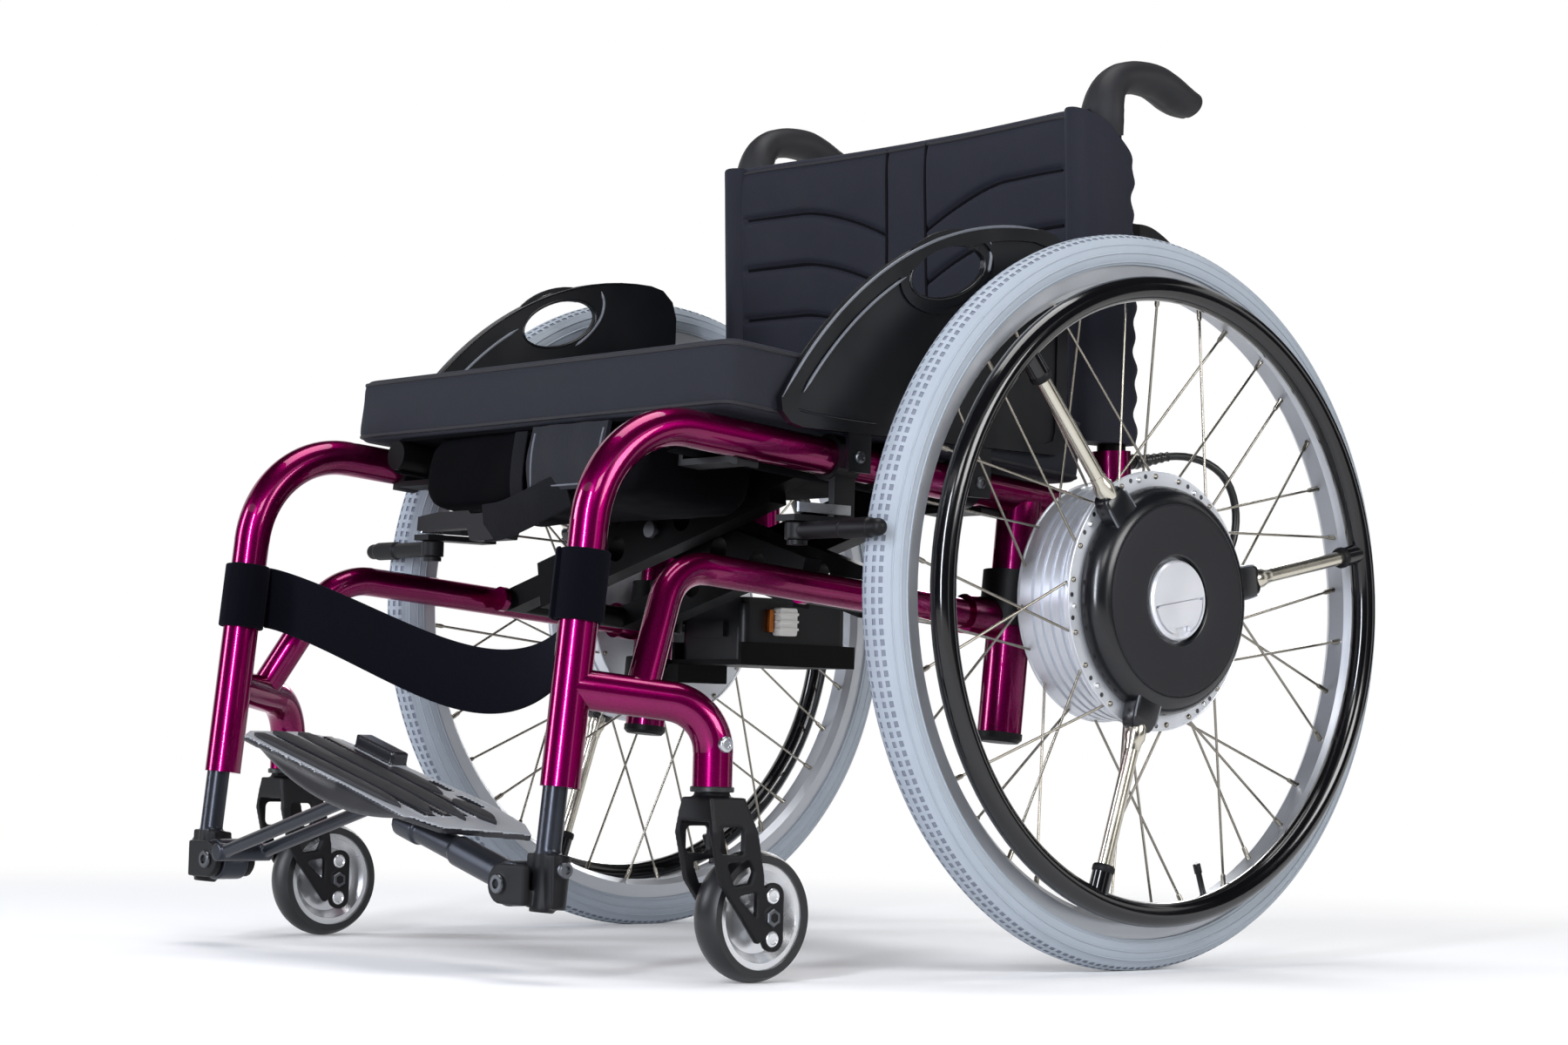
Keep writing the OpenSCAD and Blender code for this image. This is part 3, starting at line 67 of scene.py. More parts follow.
def at(x, y, z):
    """A point given in mm from the floor under the rear axle."""
    return Vector((x, AXLE_BACK + y, z)) * MM


def on_seat(x, y, z):
    """A point in the sloped seat's frame: y back from its front edge, z over the seat tubes."""
    return at(x, -SEAT_AHEAD + y * math.cos(SEAT_TILT) + z * math.sin(SEAT_TILT),
              SEAT_H - y * math.sin(SEAT_TILT) + z * math.cos(SEAT_TILT))


def front_y(z):
    """The front tube's middle at a height."""
    return -532 + (z - 144) * math.tan(math.radians(6))


def cane_y(z):
    """The back post's middle at a height."""
    return 64 - (z - 440) * math.tan(math.radians(2.5))


# Camera

def make_camera():
    """The photograph's camera: low, in front of the near side, looking slightly up."""
    yaw, pitch, roll = math.radians(48.57), math.radians(3.9), math.radians(1.38)
    ahead = Vector((-math.sin(yaw) * math.cos(pitch), math.cos(yaw) * math.cos(pitch), math.sin(pitch)))
    right = ahead.cross(Vector((0, 0, 1))).normalized()
    up = right.cross(ahead)
    across = math.cos(roll) * right + math.sin(roll) * up
    over = math.cos(roll) * up - math.sin(roll) * right
    data = bpy.data.cameras.new("camera")
    data.sensor_width, data.lens = 36, 72.74
    camera = bpy.data.objects.new("camera", data)
    turn = Matrix((across, over, -ahead)).transposed().to_4x4()
    turn.translation = Vector((2.103, -1.8257, 0.184))
    camera.matrix_world = turn
    bpy.context.scene.collection.objects.link(camera)
    bpy.context.scene.camera = camera


make_camera()


# Motor lead: the CAD source's route from the frame's gland to the one on the hub's inner disc
LEAD = [(231, 90.3, 433), (231.5, 99, 433.6), (235, 112, 436.5), (242, 127, 440), (251, 143, 440),
        (260, 158, 435), (266.5, 171.5, 424.5), (269.5, 181, 408), (270.5, 184.5, 388), (271, 180, 367),
        (272, 165, 346.5), (273, 142, 329.5), (274, 117, 317), (274, 92, 309), (274, 72, 306.4),
        (274, 58.3, 306)]


def through(points, count):
    """Evenly spaced points on a smooth curve through the given ones."""
    p = np.array([tuple(q) for q in points], float)
    p = np.vstack([2 * p[0] - p[1], p, 2 * p[-1] - p[-2]])
    fine = []
    for i in range(1, len(p) - 2):
        for t in np.linspace(0, 1, 16, endpoint=i == len(p) - 3):
            fine.append(0.5 * (2 * p[i] + (p[i + 1] - p[i - 1]) * t
                               + (2 * p[i - 1] - 5 * p[i] + 4 * p[i + 1] - p[i + 2]) * t * t
                               + (3 * p[i] - p[i - 1] - 3 * p[i + 1] + p[i + 2]) * t ** 3))
    fine = np.array(fine)
    far = np.concatenate([[0], np.cumsum(np.linalg.norm(np.diff(fine, axis=0), axis=1))])
    even = np.linspace(0, far[-1], count)
    return [Vector([np.interp(d, far, fine[:, k]) for k in range(3)]) for d in even]


def make_lead():
    """The left motor's lead, a round cord on its route."""
    route = through([at(*p) for p in LEAD], 40)
    data = bpy.data.curves.new("left_motor_lead", "CURVE")
    data.dimensions = "3D"
    data.bevel_depth = 1.0  # times each point's own radius
    data.bevel_resolution = 5
    data.use_fill_caps = True
    spline = data.splines.new("POLY")
    spline.points.add(len(route) - 1)
    for point, place in zip(spline.points, route):
        point.co = (*place, 1)
        point.radius = 3.5 * MM
    spline.use_smooth = True
    lead = bpy.data.objects.new("left_motor_lead", data)
    bpy.context.scene.collection.objects.link(lead)
    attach(lead, "left_frame")
    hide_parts("left_motor_cable")
    return lead, route


lead, lead_route = make_lead()


# Shapes: each function takes sizes in mm and returns points in metres and faces

def skinned(rings, closed=False):
    """A skin over rings of points, with flat ends or closed to a loop."""
    n, count = len(rings[0]), len(rings)
    faces = [(i * n + k, i * n + (k + 1) % n, (i + 1) % count * n + (k + 1) % n, (i + 1) % count * n + k)
             for i in range(count if closed else count - 1) for k in range(n)]
    if not closed:
        faces += [tuple(reversed(range(n))), tuple(range((count - 1) * n, count * n))]
    return [p for ring in rings for p in ring], faces


def sweep(path, section, closed=False, up=Vector((0, 0, 1))):
    """A section in mm, given as points across and along up, carried along a path without twist."""
    path = [Vector(p) for p in path]
    count = len(path)
    rings, side = [], None
    for i, p in enumerate(path):
        before = path[i - 1] if closed or i > 0 else p
        after = path[(i + 1) % count] if closed or i < count - 1 else p
        ahead = (after - before).normalized()
        if side is None:
            side = ahead.cross(up)
            if side.length < 1e-6:
                side = ahead.cross(Vector((1, 0, 0)))
        side = (side - ahead * side.dot(ahead)).normalized()
        top = side.cross(ahead)
        ring = section(i / (count - 1)) if callable(section) else section
        rings.append([p + (side * a + top * b) * MM for a, b in ring])
    return skinned(rings, closed)


def circle(r, n):
    return [(r * math.cos(2 * math.pi * k / n), r * math.sin(2 * math.pi * k / n)) for k in range(n)]


def strap_section(width, thick):
    """Flat webbing with rounded edges: thin across, wide along."""
    r, w = thick / 2, width / 2 - thick / 2
    top = [(r * math.sin(a), w + r * math.cos(a)) for a in np.linspace(-math.pi / 2, math.pi / 2, 6)]
    return top + [(-a, -b) for a, b in top]


def lathe(profile, place, steps):
    """A profile of (radius, height) turned round the z axis of a placing matrix."""
    return skinned([[place @ (Vector((r * math.cos(a), r * math.sin(a), h)) * MM)
                     for a in np.linspace(0, 2 * math.pi, steps, endpoint=False)] for r, h in profile])


def prism(outline, place, depth, ease=0.6):
    """An outline in x and y raised along z, with its edges eased by a small bevel."""
    flat = np.array(outline, float)
    inward = flat.mean(0) - flat
    inner = flat + inward * (ease / np.maximum(np.linalg.norm(inward, axis=1), 1e-9))[:, None]
    return skinned([[place @ (Vector((x, y, z)) * MM) for x, y in ring]
                    for ring, z in ((inner, 0), (flat, ease), (flat, depth - ease), (inner, depth))])


def placing(origin, z, x=None):
    """A matrix whose z axis looks along z, standing at origin."""
    z = Vector(z).normalized()
    x = Vector(x) if x is not None else (Vector((0, 0, 1)) if abs(z.z) < 0.9 else Vector((1, 0, 0)))
    x = (x - z * x.dot(z)).normalized()
    turn = Matrix((x, z.cross(x), z)).transposed().to_4x4()
    turn.translation = Vector(origin)
    return turn


def joined(*shapes):
    """Several shapes as one."""
    points, faces = [], []
    for p, f in shapes:
        faces += [tuple(i + len(points) for i in face) for face in f]
        points += list(p)
    return points, faces


def mirrored(shape, s):
    """The shape on the side that s names, turned inside out again after the mirror."""
    if s > 0:
        return shape
    return [Vector((-p[0], p[1], p[2])) for p in shape[0]], [tuple(reversed(f)) for f in shape[1]]


def piece(name, shape, material, body=None, smooth=40):
    """A mesh object with its material, riding on a body."""
    mesh = bpy.data.meshes.new(name)
    mesh.from_pydata([tuple(p) for p in shape[0]], [], shape[1])
    mesh.validate()
    # Faces look outward whichever way the shape was drawn
    if sum(f.area * f.center.dot(f.normal) for f in mesh.polygons) < 0:
        mesh.flip_normals()
    mesh.polygons.foreach_set("use_smooth", [True] * len(mesh.polygons))
    mesh.set_sharp_from_angle(angle=math.radians(smooth))
    mesh.materials.append(material)
    obj = bpy.data.objects.new(name, mesh)
    bpy.context.scene.collection.objects.link(obj)
    if body:
        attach(obj, body)
    return obj


def side_piece(side, s, name, shapes, material, body, smooth=40):
    """Shapes drawn on the left as one piece of either side, riding on that side's body."""
    return piece(side + name, mirrored(joined(*shapes), s), material, side + body, smooth)


# Materials

def linear(colour):
    """An sRGB hex colour as linear red, green, blue and alpha."""
    parts = [int(colour[i:i + 2], 16) / 255 for i in (1, 3, 5)]
    return [c / 12.92 if c <= 0.04045 else ((c + 0.055) / 1.055) ** 2.4 for c in parts] + [1.0]


def add(tree, kind, inputs=None, **settings):
    """Adds a node with its settings, and sets or links its inputs."""
    made = tree.nodes.new(kind)
    for name, value in settings.items():
        setattr(made, name, value)
    for socket, value in (inputs or {}).items():
        if isinstance(value, bpy.types.NodeSocket):
            tree.links.new(value, made.inputs[socket])
        else:
            made.inputs[socket].default_value = value
    return made


def surface(name, **inputs):
    """A material with a Principled surface whose plain sockets are set by name."""
    material = bpy.data.materials.new(name)
    material.use_nodes = True
    tree = material.node_tree
    shader = tree.nodes["Principled BSDF"]
    for socket, value in inputs.items():
        shader.inputs[socket.replace("_", " ")].default_value = value
    return material, tree, shader


def candy_lacquer():
    """Sprayed candy lacquer: bright metal flake under a deep tinted clear coat, with hard highlights."""
    material, tree, shader = surface("candy_lacquer", Metallic=0.95, Coat_Weight=1.0, Coat_Roughness=0.03,
                                     Coat_IOR=1.36, Coat_Tint=linear("#CC2C98"))
    place = add(tree, "ShaderNodeTexCoord").outputs["Object"]
    # Flake is about 0.1 mm; drawn at 0.5 mm so that it shows at all
    flake = add(tree, "ShaderNodeTexVoronoi", {"Vector": place, "Scale": 2000.0})
    cloud = add(tree, "ShaderNodeTexNoise", {"Vector": place, "Scale": 30.0, "Detail": 2.0})
    tint = add(tree, "ShaderNodeMix", {0: cloud.outputs["Fac"], 6: linear("#90207A"), 7: linear("#A82890")},
               data_type="RGBA")
    glint = add(tree, "ShaderNodeMapRange", {"Value": flake.outputs["Distance"], "From Min": 0.0,
                                             "From Max": 0.9, "To Min": 0.22, "To Max": 0.34})
    tree.links.new(tint.outputs[2], shader.inputs["Base Color"])
    tree.links.new(glint.outputs["Result"], shader.inputs["Roughness"])
    return material


def worn(tree, shader, patches, colours, rough, height, bump, depth_mm=0.05):
    """Gives a shader two near colours and an uneven gloss in patches, and a fine relief."""
    tint = add(tree, "ShaderNodeMix", {0: patches, 6: linear(colours[0]), 7: linear(colours[1])}, data_type="RGBA")
    gloss = add(tree, "ShaderNodeMapRange", {"Value": patches, "From Min": 0.3, "From Max": 0.7,
                                             "To Min": rough[0], "To Max": rough[1]})
    relief = add(tree, "ShaderNodeBump", {"Height": height, "Strength": bump, "Distance": depth_mm * MM})
    tree.links.new(tint.outputs[2], shader.inputs["Base Color"])
    tree.links.new(gloss.outputs["Result"], shader.inputs["Roughness"])
    tree.links.new(relief.outputs["Normal"], shader.inputs["Normal"])


def plain(name, colour, other, grain_mm, rough, bump=0.1, **inputs):
    """A moulded, cast or coated surface: two near colours, an uneven gloss and a fine grain."""
    material, tree, shader = surface(name, **inputs)
    place = add(tree, "ShaderNodeTexCoord").outputs["Object"]
    grain = add(tree, "ShaderNodeTexNoise", {"Vector": place, "Scale": 1000.0 / grain_mm, "Detail": 3.0,
                                             "Roughness": 0.6})
    wear = add(tree, "ShaderNodeTexNoise", {"Vector": place, "Scale": 18.0, "Detail": 4.0})
    worn(tree, shader, wear.outputs["Fac"], (colour, other), rough, grain.outputs["Fac"], bump)
    return material


def woven(name, colour, other, thread_mm, rough, sheen, gloss=0.2, bump=0.35):
    """Woven synthetic cloth: over-and-under threads, soft sheen, slightly uneven dye."""
    material, tree, shader = surface(name, Sheen_Weight=sheen, Sheen_Roughness=0.45, Specular_IOR_Level=gloss,
                                     Sheen_Tint=linear("#9AA0B8"))
    place = add(tree, "ShaderNodeTexCoord").outputs["Object"]
    turn = 2 * math.pi / (2 * thread_mm * MM) / 20  # Wave repeats 20 times over a length of 2 pi
    warp, weft = (add(tree, "ShaderNodeTexWave", {"Vector": place, "Scale": turn, "Distortion": 0.4, "Detail": 1.0,
                                                  "Detail Scale": 2.0}, wave_type="BANDS", bands_direction=way)
                  for way in ("X", "DIAGONAL"))
    cross = add(tree, "ShaderNodeMath", {0: warp.outputs["Fac"], 1: weft.outputs["Fac"]}, operation="MAXIMUM")
    dye = add(tree, "ShaderNodeTexNoise", {"Vector": place, "Scale": 22.0, "Detail": 5.0})
    worn(tree, shader, dye.outputs["Fac"], (colour, other), rough, cross.outputs["Value"], bump, 0.15)
    return material


def turned_metal(name, colours, rough, line_mm, bump=0.06, metal=1.0):
    """Metal from a lathe or drawn tube: a fine relief and a slightly uneven polish."""
    material, tree, shader = surface(name, Metallic=metal)
    place = add(tree, "ShaderNodeTexCoord").outputs["Object"]
    lines = add(tree, "ShaderNodeTexNoise", {"Vector": place, "Scale": 1000.0 / line_mm, "Detail": 2.0})
    cloud = add(tree, "ShaderNodeTexNoise", {"Vector": place, "Scale": 25.0, "Detail": 3.0})
    worn(tree, shader, cloud.outputs["Fac"], colours, rough, lines.outputs["Fac"], bump)
    return material


LACQUER = candy_lacquer()
# Glass-filled nylon, moulded: near black, half matt, with a fine spark-eroded grain
NYLON = plain("glass_filled_nylon", "#08080A", "#0E0E11", 0.7, (0.42, 0.56), Specular_IOR_Level=0.22)
# ABS sheet panel, vacuum formed: black with a soft broad gloss
ABS_PANEL = plain("black_abs", "#0A0B0E", "#0F1014", 0.9, (0.3, 0.4), 0.06, Specular_IOR_Level=0.32)
# Hub cover: dark grey ABS with a matt spark-eroded face
COVER_ABS = plain("dark_grey_abs", "#18181C", "#1E1E22", 0.6, (0.5, 0.62), 0.15, Specular_IOR_Level=0.26)
# Same moulding where the tool was polished: the cover's bevel
COVER_GLOSS = plain("polished_black_abs", "#0D0E11", "#131418", 1.2, (0.2, 0.28), 0.03)
# Vinyl-dipped handrim: black, wet gloss
HANDRIM_VINYL = plain("handrim_vinyl", "#08080A", "#0D0D10", 1.5, (0.1, 0.17), 0.03, Coat_Weight=0.2,
                      Coat_Roughness=0.05)
# Powder-coated steel: black, fine orange peel
POWDER_COAT = plain("black_powder_coat", "#040405", "#070708", 1.4, (0.4, 0.52), 0.12, Specular_IOR_Level=0.1)
# Die-cast aluminium, black anodised: satin with a metal glint
BLACK_ANODISED = plain("black_anodised_aluminium", "#2A2C32", "#363941", 0.8, (0.26, 0.34), 0.05, Metallic=0.7)
# Grip rubber: matt black, slightly dusty
GRIP_RUBBER = plain("grip_rubber", "#161619", "#1E1E22", 0.8, (0.5, 0.66), 0.2, Specular_IOR_Level=0.35)
# Non-marking grey tyre rubber: pale blue grey, matt, dusty
TYRE_RUBBER = plain("grey_tyre_rubber", "#99A1AA", "#A5ADB6", 1.0, (0.55, 0.7), 0.12, Specular_IOR_Level=0.3)
# Walls and floors of the tread's pockets: the same rubber, darker as painted shade in the recesses
POCKET_SHADE_RUBBER = plain("grey_tyre_groove", "#767C88", "#848A95", 1.0, (0.7, 0.8), 0.2, Specular_IOR_Level=0.2)
# Caster polyurethane: black, half gloss
CASTER_PU = plain("black_polyurethane", "#101012", "#191A1C", 1.0, (0.32, 0.48), 0.06)
# Cable jacket and valve: soft black PVC
CABLE_PVC = plain("black_pvc", "#0E0E10", "#151517", 1.0, (0.3, 0.4), 0.06)
# Hub drum: machined aluminium under a clear lacquer, satin
SILVER_HUB = turned_metal("machined_aluminium", ("#D6D9DF", "#E0E3E8"), (0.34, 0.44), 0.5, metal=0.65)
# Rim: silver anodised aluminium, satin
RIM_ALLOY = turned_metal("anodised_rim_aluminium", ("#B4B7BD", "#C0C3C8"), (0.32, 0.42), 0.6, metal=0.75)
# Polished aluminium of caster rims, inserts and screw heads
POLISHED = turned_metal("polished_aluminium", ("#D9DADC", "#E4E5E7"), (0.2, 0.28), 0.8, 0.03, 0.8)
# Release cap and bail: satin chrome on plastic
SATIN_CHROME = turned_metal("satin_chrome", ("#E2E3E8", "#EAEBEF"), (0.3, 0.38), 1.0, 0.02, 0.55)
# Nickel-plated rod: slightly warm
NICKEL = turned_metal("nickel_plated_steel", ("#CBC6B8", "#D6D1C4"), (0.2, 0.28), 0.6)
# Drawn stainless wire, dark among its reflections
SPOKE_STEEL = turned_metal("stainless_steel_wire", ("#8E897F", "#9E998F"), (0.22, 0.3), 0.5)
# Zinc-plated screws, pins and plates
ZINC = turned_metal("zinc_plated_steel", ("#B4B7BC", "#C4C7CB"), (0.22, 0.34), 0.6)
# Oiled steel of bolts and the axle
DARK_STEEL = turned_metal("oiled_steel", ("#5A5C60", "#6A6C70"), (0.3, 0.42), 0.6)
# Enamelled copper windings
COPPER = turned_metal("copper_winding", ("#8A4A24", "#A65A2C"), (0.28, 0.4), 0.6)
# Cloths, all woven synthetics: cushion, back, calf strap, sling and pouch flap
CUSHION_CLOTH = woven("polyester_cushion_cloth", "#1C1D23", "#25262D", 0.9, (0.72, 0.86), 0.06)
BACK_CLOTH = woven("nylon_back_cloth", "#191A22", "#21222C", 0.8, (0.66, 0.8), 0.08)
STRAP_VELOUR = woven("loop_velour", "#040409", "#090911", 1.1, (0.85, 0.95), 0.05, 0.05)
SLING_CLOTH = woven("nylon_pack_cloth", "#040406", "#08080A", 1.0, (0.7, 0.85), 0.01, 0.03)
FLAP_CLOTH = woven("coated_flap_cloth", "#15161B", "#1C1D23", 1.2, (0.6, 0.72), 0.05)
# Bound edges and sewing thread, a little darker than the cloth
PIPING = plain("polyester_piping", "#111116", "#1A1A20", 0.8, (0.6, 0.75), 0.3)
# Light grey lines on the black mouldings' ridges and edges: painted highlights
HIGHLIGHT_GREY_ABS = plain("rubbed_abs", "#5C5F66", "#6C6F76", 0.8, (0.25, 0.35), 0.05)
# Footplate: moulded, half gloss, so that it mirrors the floor at a low angle, with matt rubber pads
PLATE_ABS = plain("footplate_abs", "#1A1A1D", "#222226", 1.0, (0.16, 0.24), 0.04)
PLATE_GREY = plain("grey_composite", "#8A8C90", "#989A9E", 1.0, (0.28, 0.36), 0.06)
# Battery connector: white nylon with a copper strip beside it
WHITE_NYLON = plain("white_connector_nylon", "#D8D6D0", "#E2E0DA", 0.8, (0.4, 0.5), 0.05)
COPPER_STRIP = turned_metal("copper_strip", ("#B0622C", "#C07238"), (0.3, 0.4), 0.6)
# Black cords along the back's sewn channels: their stitching, thickened into painted shade of the grooves; pale
# stitching of the flap, and belt webbing
CHANNEL_SHADE_CORD = plain("black_seam_thread", "#050509", "#0A0A0F", 0.5, (0.7, 0.85), 0.2, Specular_IOR_Level=0.1)
THREAD = plain("polyester_thread", "#55565E", "#62636C", 0.5, (0.55, 0.7), 0.2)
WEBBING = woven("polyester_webbing", "#0A0A0D", "#101014", 1.6, (0.65, 0.8), 0.04, 0.1, 0.6)

FINISH = {
    "upper_tube": LACQUER, "lower_frame": LACQUER, "axle_tube": LACQUER, "back_post": POWDER_COAT,
    "push_grip": GRIP_RUBBER, "side_guard": ABS_PANEL, "foot_extension": BLACK_ANODISED,
    "frame_fittings": NYLON, "axle_set": DARK_STEEL, "motor_core": COPPER, "tyre": TYRE_RUBBER,
    "rim": RIM_ALLOY, "spokes": SPOKE_STEEL, "hub_shell": SILVER_HUB, "handrim": HANDRIM_VINYL,
    "tie_rods": NICKEL, "hub_cover": COVER_ABS, "release_cap": SATIN_CHROME, "release_bail": SATIN_CHROME,
    "caster_fork": BLACK_ANODISED, "caster_rim": POLISHED, "caster_tyre": CASTER_PU, "brake_bar": NYLON,
    "foot_arm": BLACK_ANODISED, "footplate": NYLON, "foot_links": BLACK_ANODISED,
    "battery_tray": POWDER_COAT, "battery_pack": ABS_PANEL, "brace_bar_a": POWDER_COAT,
    "brace_bar_b": POWDER_COAT, "brace_pins": ZINC, "motor_cable": CABLE_PVC,
    "seat_cushion": CUSHION_CLOTH, "seat_sling": SLING_CLOTH, "back_upholstery": BACK_CLOTH,
    "calf_strap": STRAP_VELOUR}
for name, obj in node.items():
    obj.data.materials.clear()
    obj.data.materials.append(FINISH[name.replace("left_", "").replace("right_", "")])
lead.data.materials.append(CABLE_PVC)


# Soft goods

def remeshed(name, shape, voxel, material):
    """A closed shape as one even skin of small faces."""
    rough = piece(name + "_form", shape, material)
    skin = rough.modifiers.new("skin", "REMESH")
    skin.mode = "VOXEL"
    skin.voxel_size = voxel
    mesh = bpy.data.meshes.new_from_object(rough.evaluated_get(bpy.context.evaluated_depsgraph_get()))
    bpy.data.objects.remove(rough)
    obj = bpy.data.objects.new(name, mesh)
    mesh.name = name
    mesh.materials.clear()
    mesh.materials.append(material)
    bpy.context.scene.collection.objects.link(obj)
    return obj


def points_of(obj):
    """A mesh's points as an array."""
    co = np.empty(len(obj.data.vertices) * 3)
    obj.data.vertices.foreach_get("co", co)
    return co.reshape(-1, 3)


def puff(obj, held, cap, pressure=4.0, frames=20):
    """Fills a closed skin: cloth under pressure, held at some points, moved by no more than cap."""
    before = points_of(obj)
    obj.vertex_groups.new(name="held").add([int(i) for i in held], 1.0, "REPLACE")
    cloth = obj.modifiers.new("filling", "CLOTH")
    cloth.settings.vertex_group_mass = "held"
    cloth.settings.use_pressure = True
    cloth.settings.uniform_pressure_force = pressure
    cloth.settings.effector_weights.gravity = 0
    cloth.settings.quality = 4
    cloth.collision_settings.use_collision = False
    cloth.point_cache.frame_start, cloth.point_cache.frame_end = 1, frames
    scene = bpy.context.scene
    for f in range(1, frames + 1):
        scene.frame_set(f)
    shown = obj.evaluated_get(bpy.context.evaluated_depsgraph_get()).to_mesh()
    after = np.empty(before.size)
    shown.vertices.foreach_get("co", after)
    obj.modifiers.remove(cloth)
    obj.vertex_groups.clear()
    scene.frame_set(1)
    move = after.reshape(-1, 3) - before
    far = np.linalg.norm(move, axis=1)[:, None]
    obj.data.vertices.foreach_set("co", (before + move * np.minimum(1, cap / np.maximum(far, 1e-9))).ravel())
    obj.data.update()


def made_real(obj):
    """Puts the mesh that the modifiers make in the place of the old one, smooth."""
    mesh = bpy.data.meshes.new_from_object(obj.evaluated_get(bpy.context.evaluated_depsgraph_get()))
    obj.modifiers.clear()
    obj.data = mesh
    mesh.polygons.foreach_set("use_smooth", [True] * len(mesh.polygons))


def finer(obj):
    """One subdivision, made real."""
    obj.modifiers.new("finer", "SUBSURF").levels = 1
    made_real(obj)


def moulded(obj, change):
    """Moves every point of a mesh by a function of all its points."""
    obj.data.vertices.foreach_set("co", change(points_of(obj)).ravel())
    obj.data.update()


def wrinkle(p, size, depth):
    """Uneven cloth: a slow noise along each axis, for points as an array."""
    return depth * np.array([noise.noise(Vector(q) / size) for q in p])


def skin_of(obj):
    """A mesh to cast rays at."""
    return BVHTree.FromPolygons([v.co for v in obj.data.vertices],
                                [tuple(f.vertices) for f in obj.data.polygons])


def folding(obj):
    """Cloth that hangs between the two seat rails, with its placing baked into its points."""
    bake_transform(obj)


CUSHION_W, CUSHION_L, CUSHION_T, CUSHION_Y, CUSHION_Z = 512.0, 402.0, 55.0, 1.0, 19.1


def cushion_ring(k, z, n=8):
    """The cushion's rounded outline, k inside its full size, at a height over its underside."""
    r = 14 + k / 4
    ring = []
    for c, (sx, sy) in enumerate(((1, 1), (-1, 1), (-1, -1), (1, -1))):
        for i in range(n + 1):
            a = math.pi / 2 * (c + i / n)
            ring.append(on_seat(sx * (CUSHION_W / 2 - k - r) + r * math.cos(a), CUSHION_Y + CUSHION_L / 2
                                + sy * (CUSHION_L / 2 - k - r) + r * math.sin(a), CUSHION_Z + z))
    return ring


def seat_frame(p):
    """Points in metres as the seat frame's x, y, z in mm."""
    y, z = p[:, 1] / MM - AXLE_BACK + SEAT_AHEAD, p[:, 2] / MM - SEAT_H
    c, s = math.cos(SEAT_TILT), math.sin(SEAT_TILT)
    return np.stack([p[:, 0] / MM, y * c - z * s, y * s + z * c], 1)


def make_cushion():
    """Foam cushion in a boxed cover: crowned top, piped edges, a little slack at the corners."""
    t = CUSHION_T
    cushion = remeshed("seat_cushion_cover", skinned([
        cushion_ring(k, z) for k, z in ((60, 0), (4, 0), (0.6, 1.4), (0, 5), (0.6, t * 0.3), (0.8, t * 0.5),
                                        (0.6, t * 0.7), (0, t - 5), (0.6, t - 1.4), (4, t + 0.4),
                                        (34, t + 2), (80, t + 3.7), (140, t + 5))]), 0.006, CUSHION_CLOTH)
    q = seat_frame(points_of(cushion))
    edge = np.maximum(np.abs(q[:, 0]) - CUSHION_W / 2, np.abs(q[:, 1] - CUSHION_Y - CUSHION_L / 2)
                      - CUSHION_L / 2) > -7
    h = q[:, 2] - CUSHION_Z
    corner = (np.abs(q[:, 0]) > CUSHION_W / 2 - 12) & (np.abs(q[:, 1] - CUSHION_Y - CUSHION_L / 2)
                                                       > CUSHION_L / 2 - 12)
    puff(cushion, np.where((h < 2) | (edge & ((h < 8) | (h > t - 8))) | corner)[0], 0.006)
    finer(cushion)

    def slack(p):
        h = seat_frame(p)[:, 2] - CUSHION_Z
        side = np.clip(h / 12, 0, 1) * np.clip((t - h) / 12, 0, 1)
        pull = wrinkle(p * np.array([1, 1, 2.2]), 0.07, 0.0016) * side
        out = p - on_seat(0, CUSHION_Y + CUSHION_L / 2, CUSHION_Z + t / 2)
        out[:, 2] = 0
        return p + out / np.linalg.norm(out, axis=1)[:, None] * pull[:, None] \
            + np.outer(wrinkle(p, 0.09, 0.0012) * np.clip((h - t) / 3, 0, 1), (0, 0, 1))

    moulded(cushion, slack)
    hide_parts("seat_cushion")
    skin = skin_of(cushion)
    ropes = []
    for h in (4.5, t - 4.5):
        ring = [Vector(p) for p in cushion_ring(-12, h, 10)]
        middle = Vector(on_seat(0, CUSHION_Y + CUSHION_L / 2, CUSHION_Z + h))
        # More points along the straight sides, then laid on the cover
        path = [a.lerp(b, k / m) for a, b in zip(ring, ring[1:] + ring[:1])
                for m in [max(1, int((b - a).length / 0.012))] for k in range(m)]
        laid = [skin.ray_cast(p, (middle - p).normalized())[0] for p in path]
        ropes.append(sweep(laid, circle(1.7, 8), closed=True))
    piping = piece("seat_cushion_piping", joined(*ropes), PIPING)
    for obj in (cushion, piping):
        folding(obj)


BACK_LOW, BACK_TOP, BACK_T, BACK_HALF, BACK_BAND = 452.0, 738.0, 24.0, 230.0, 26.0


def back_rear(x, z):
    """Rear face of the back panel, which bows between the posts."""
    return cane_y(z) - 18 + 18 * np.cos(np.pi / 2 * np.abs(x) / BACK_HALF)


def channel_lines(x):
    """Heights of the sewn channels, which fall towards the middle band."""
    fall = 32 * np.clip(1 - (np.abs(x) - BACK_BAND) / 110, 0, 1) ** 1.6
    return [684 - 48.5 * k - fall for k in range(5)]


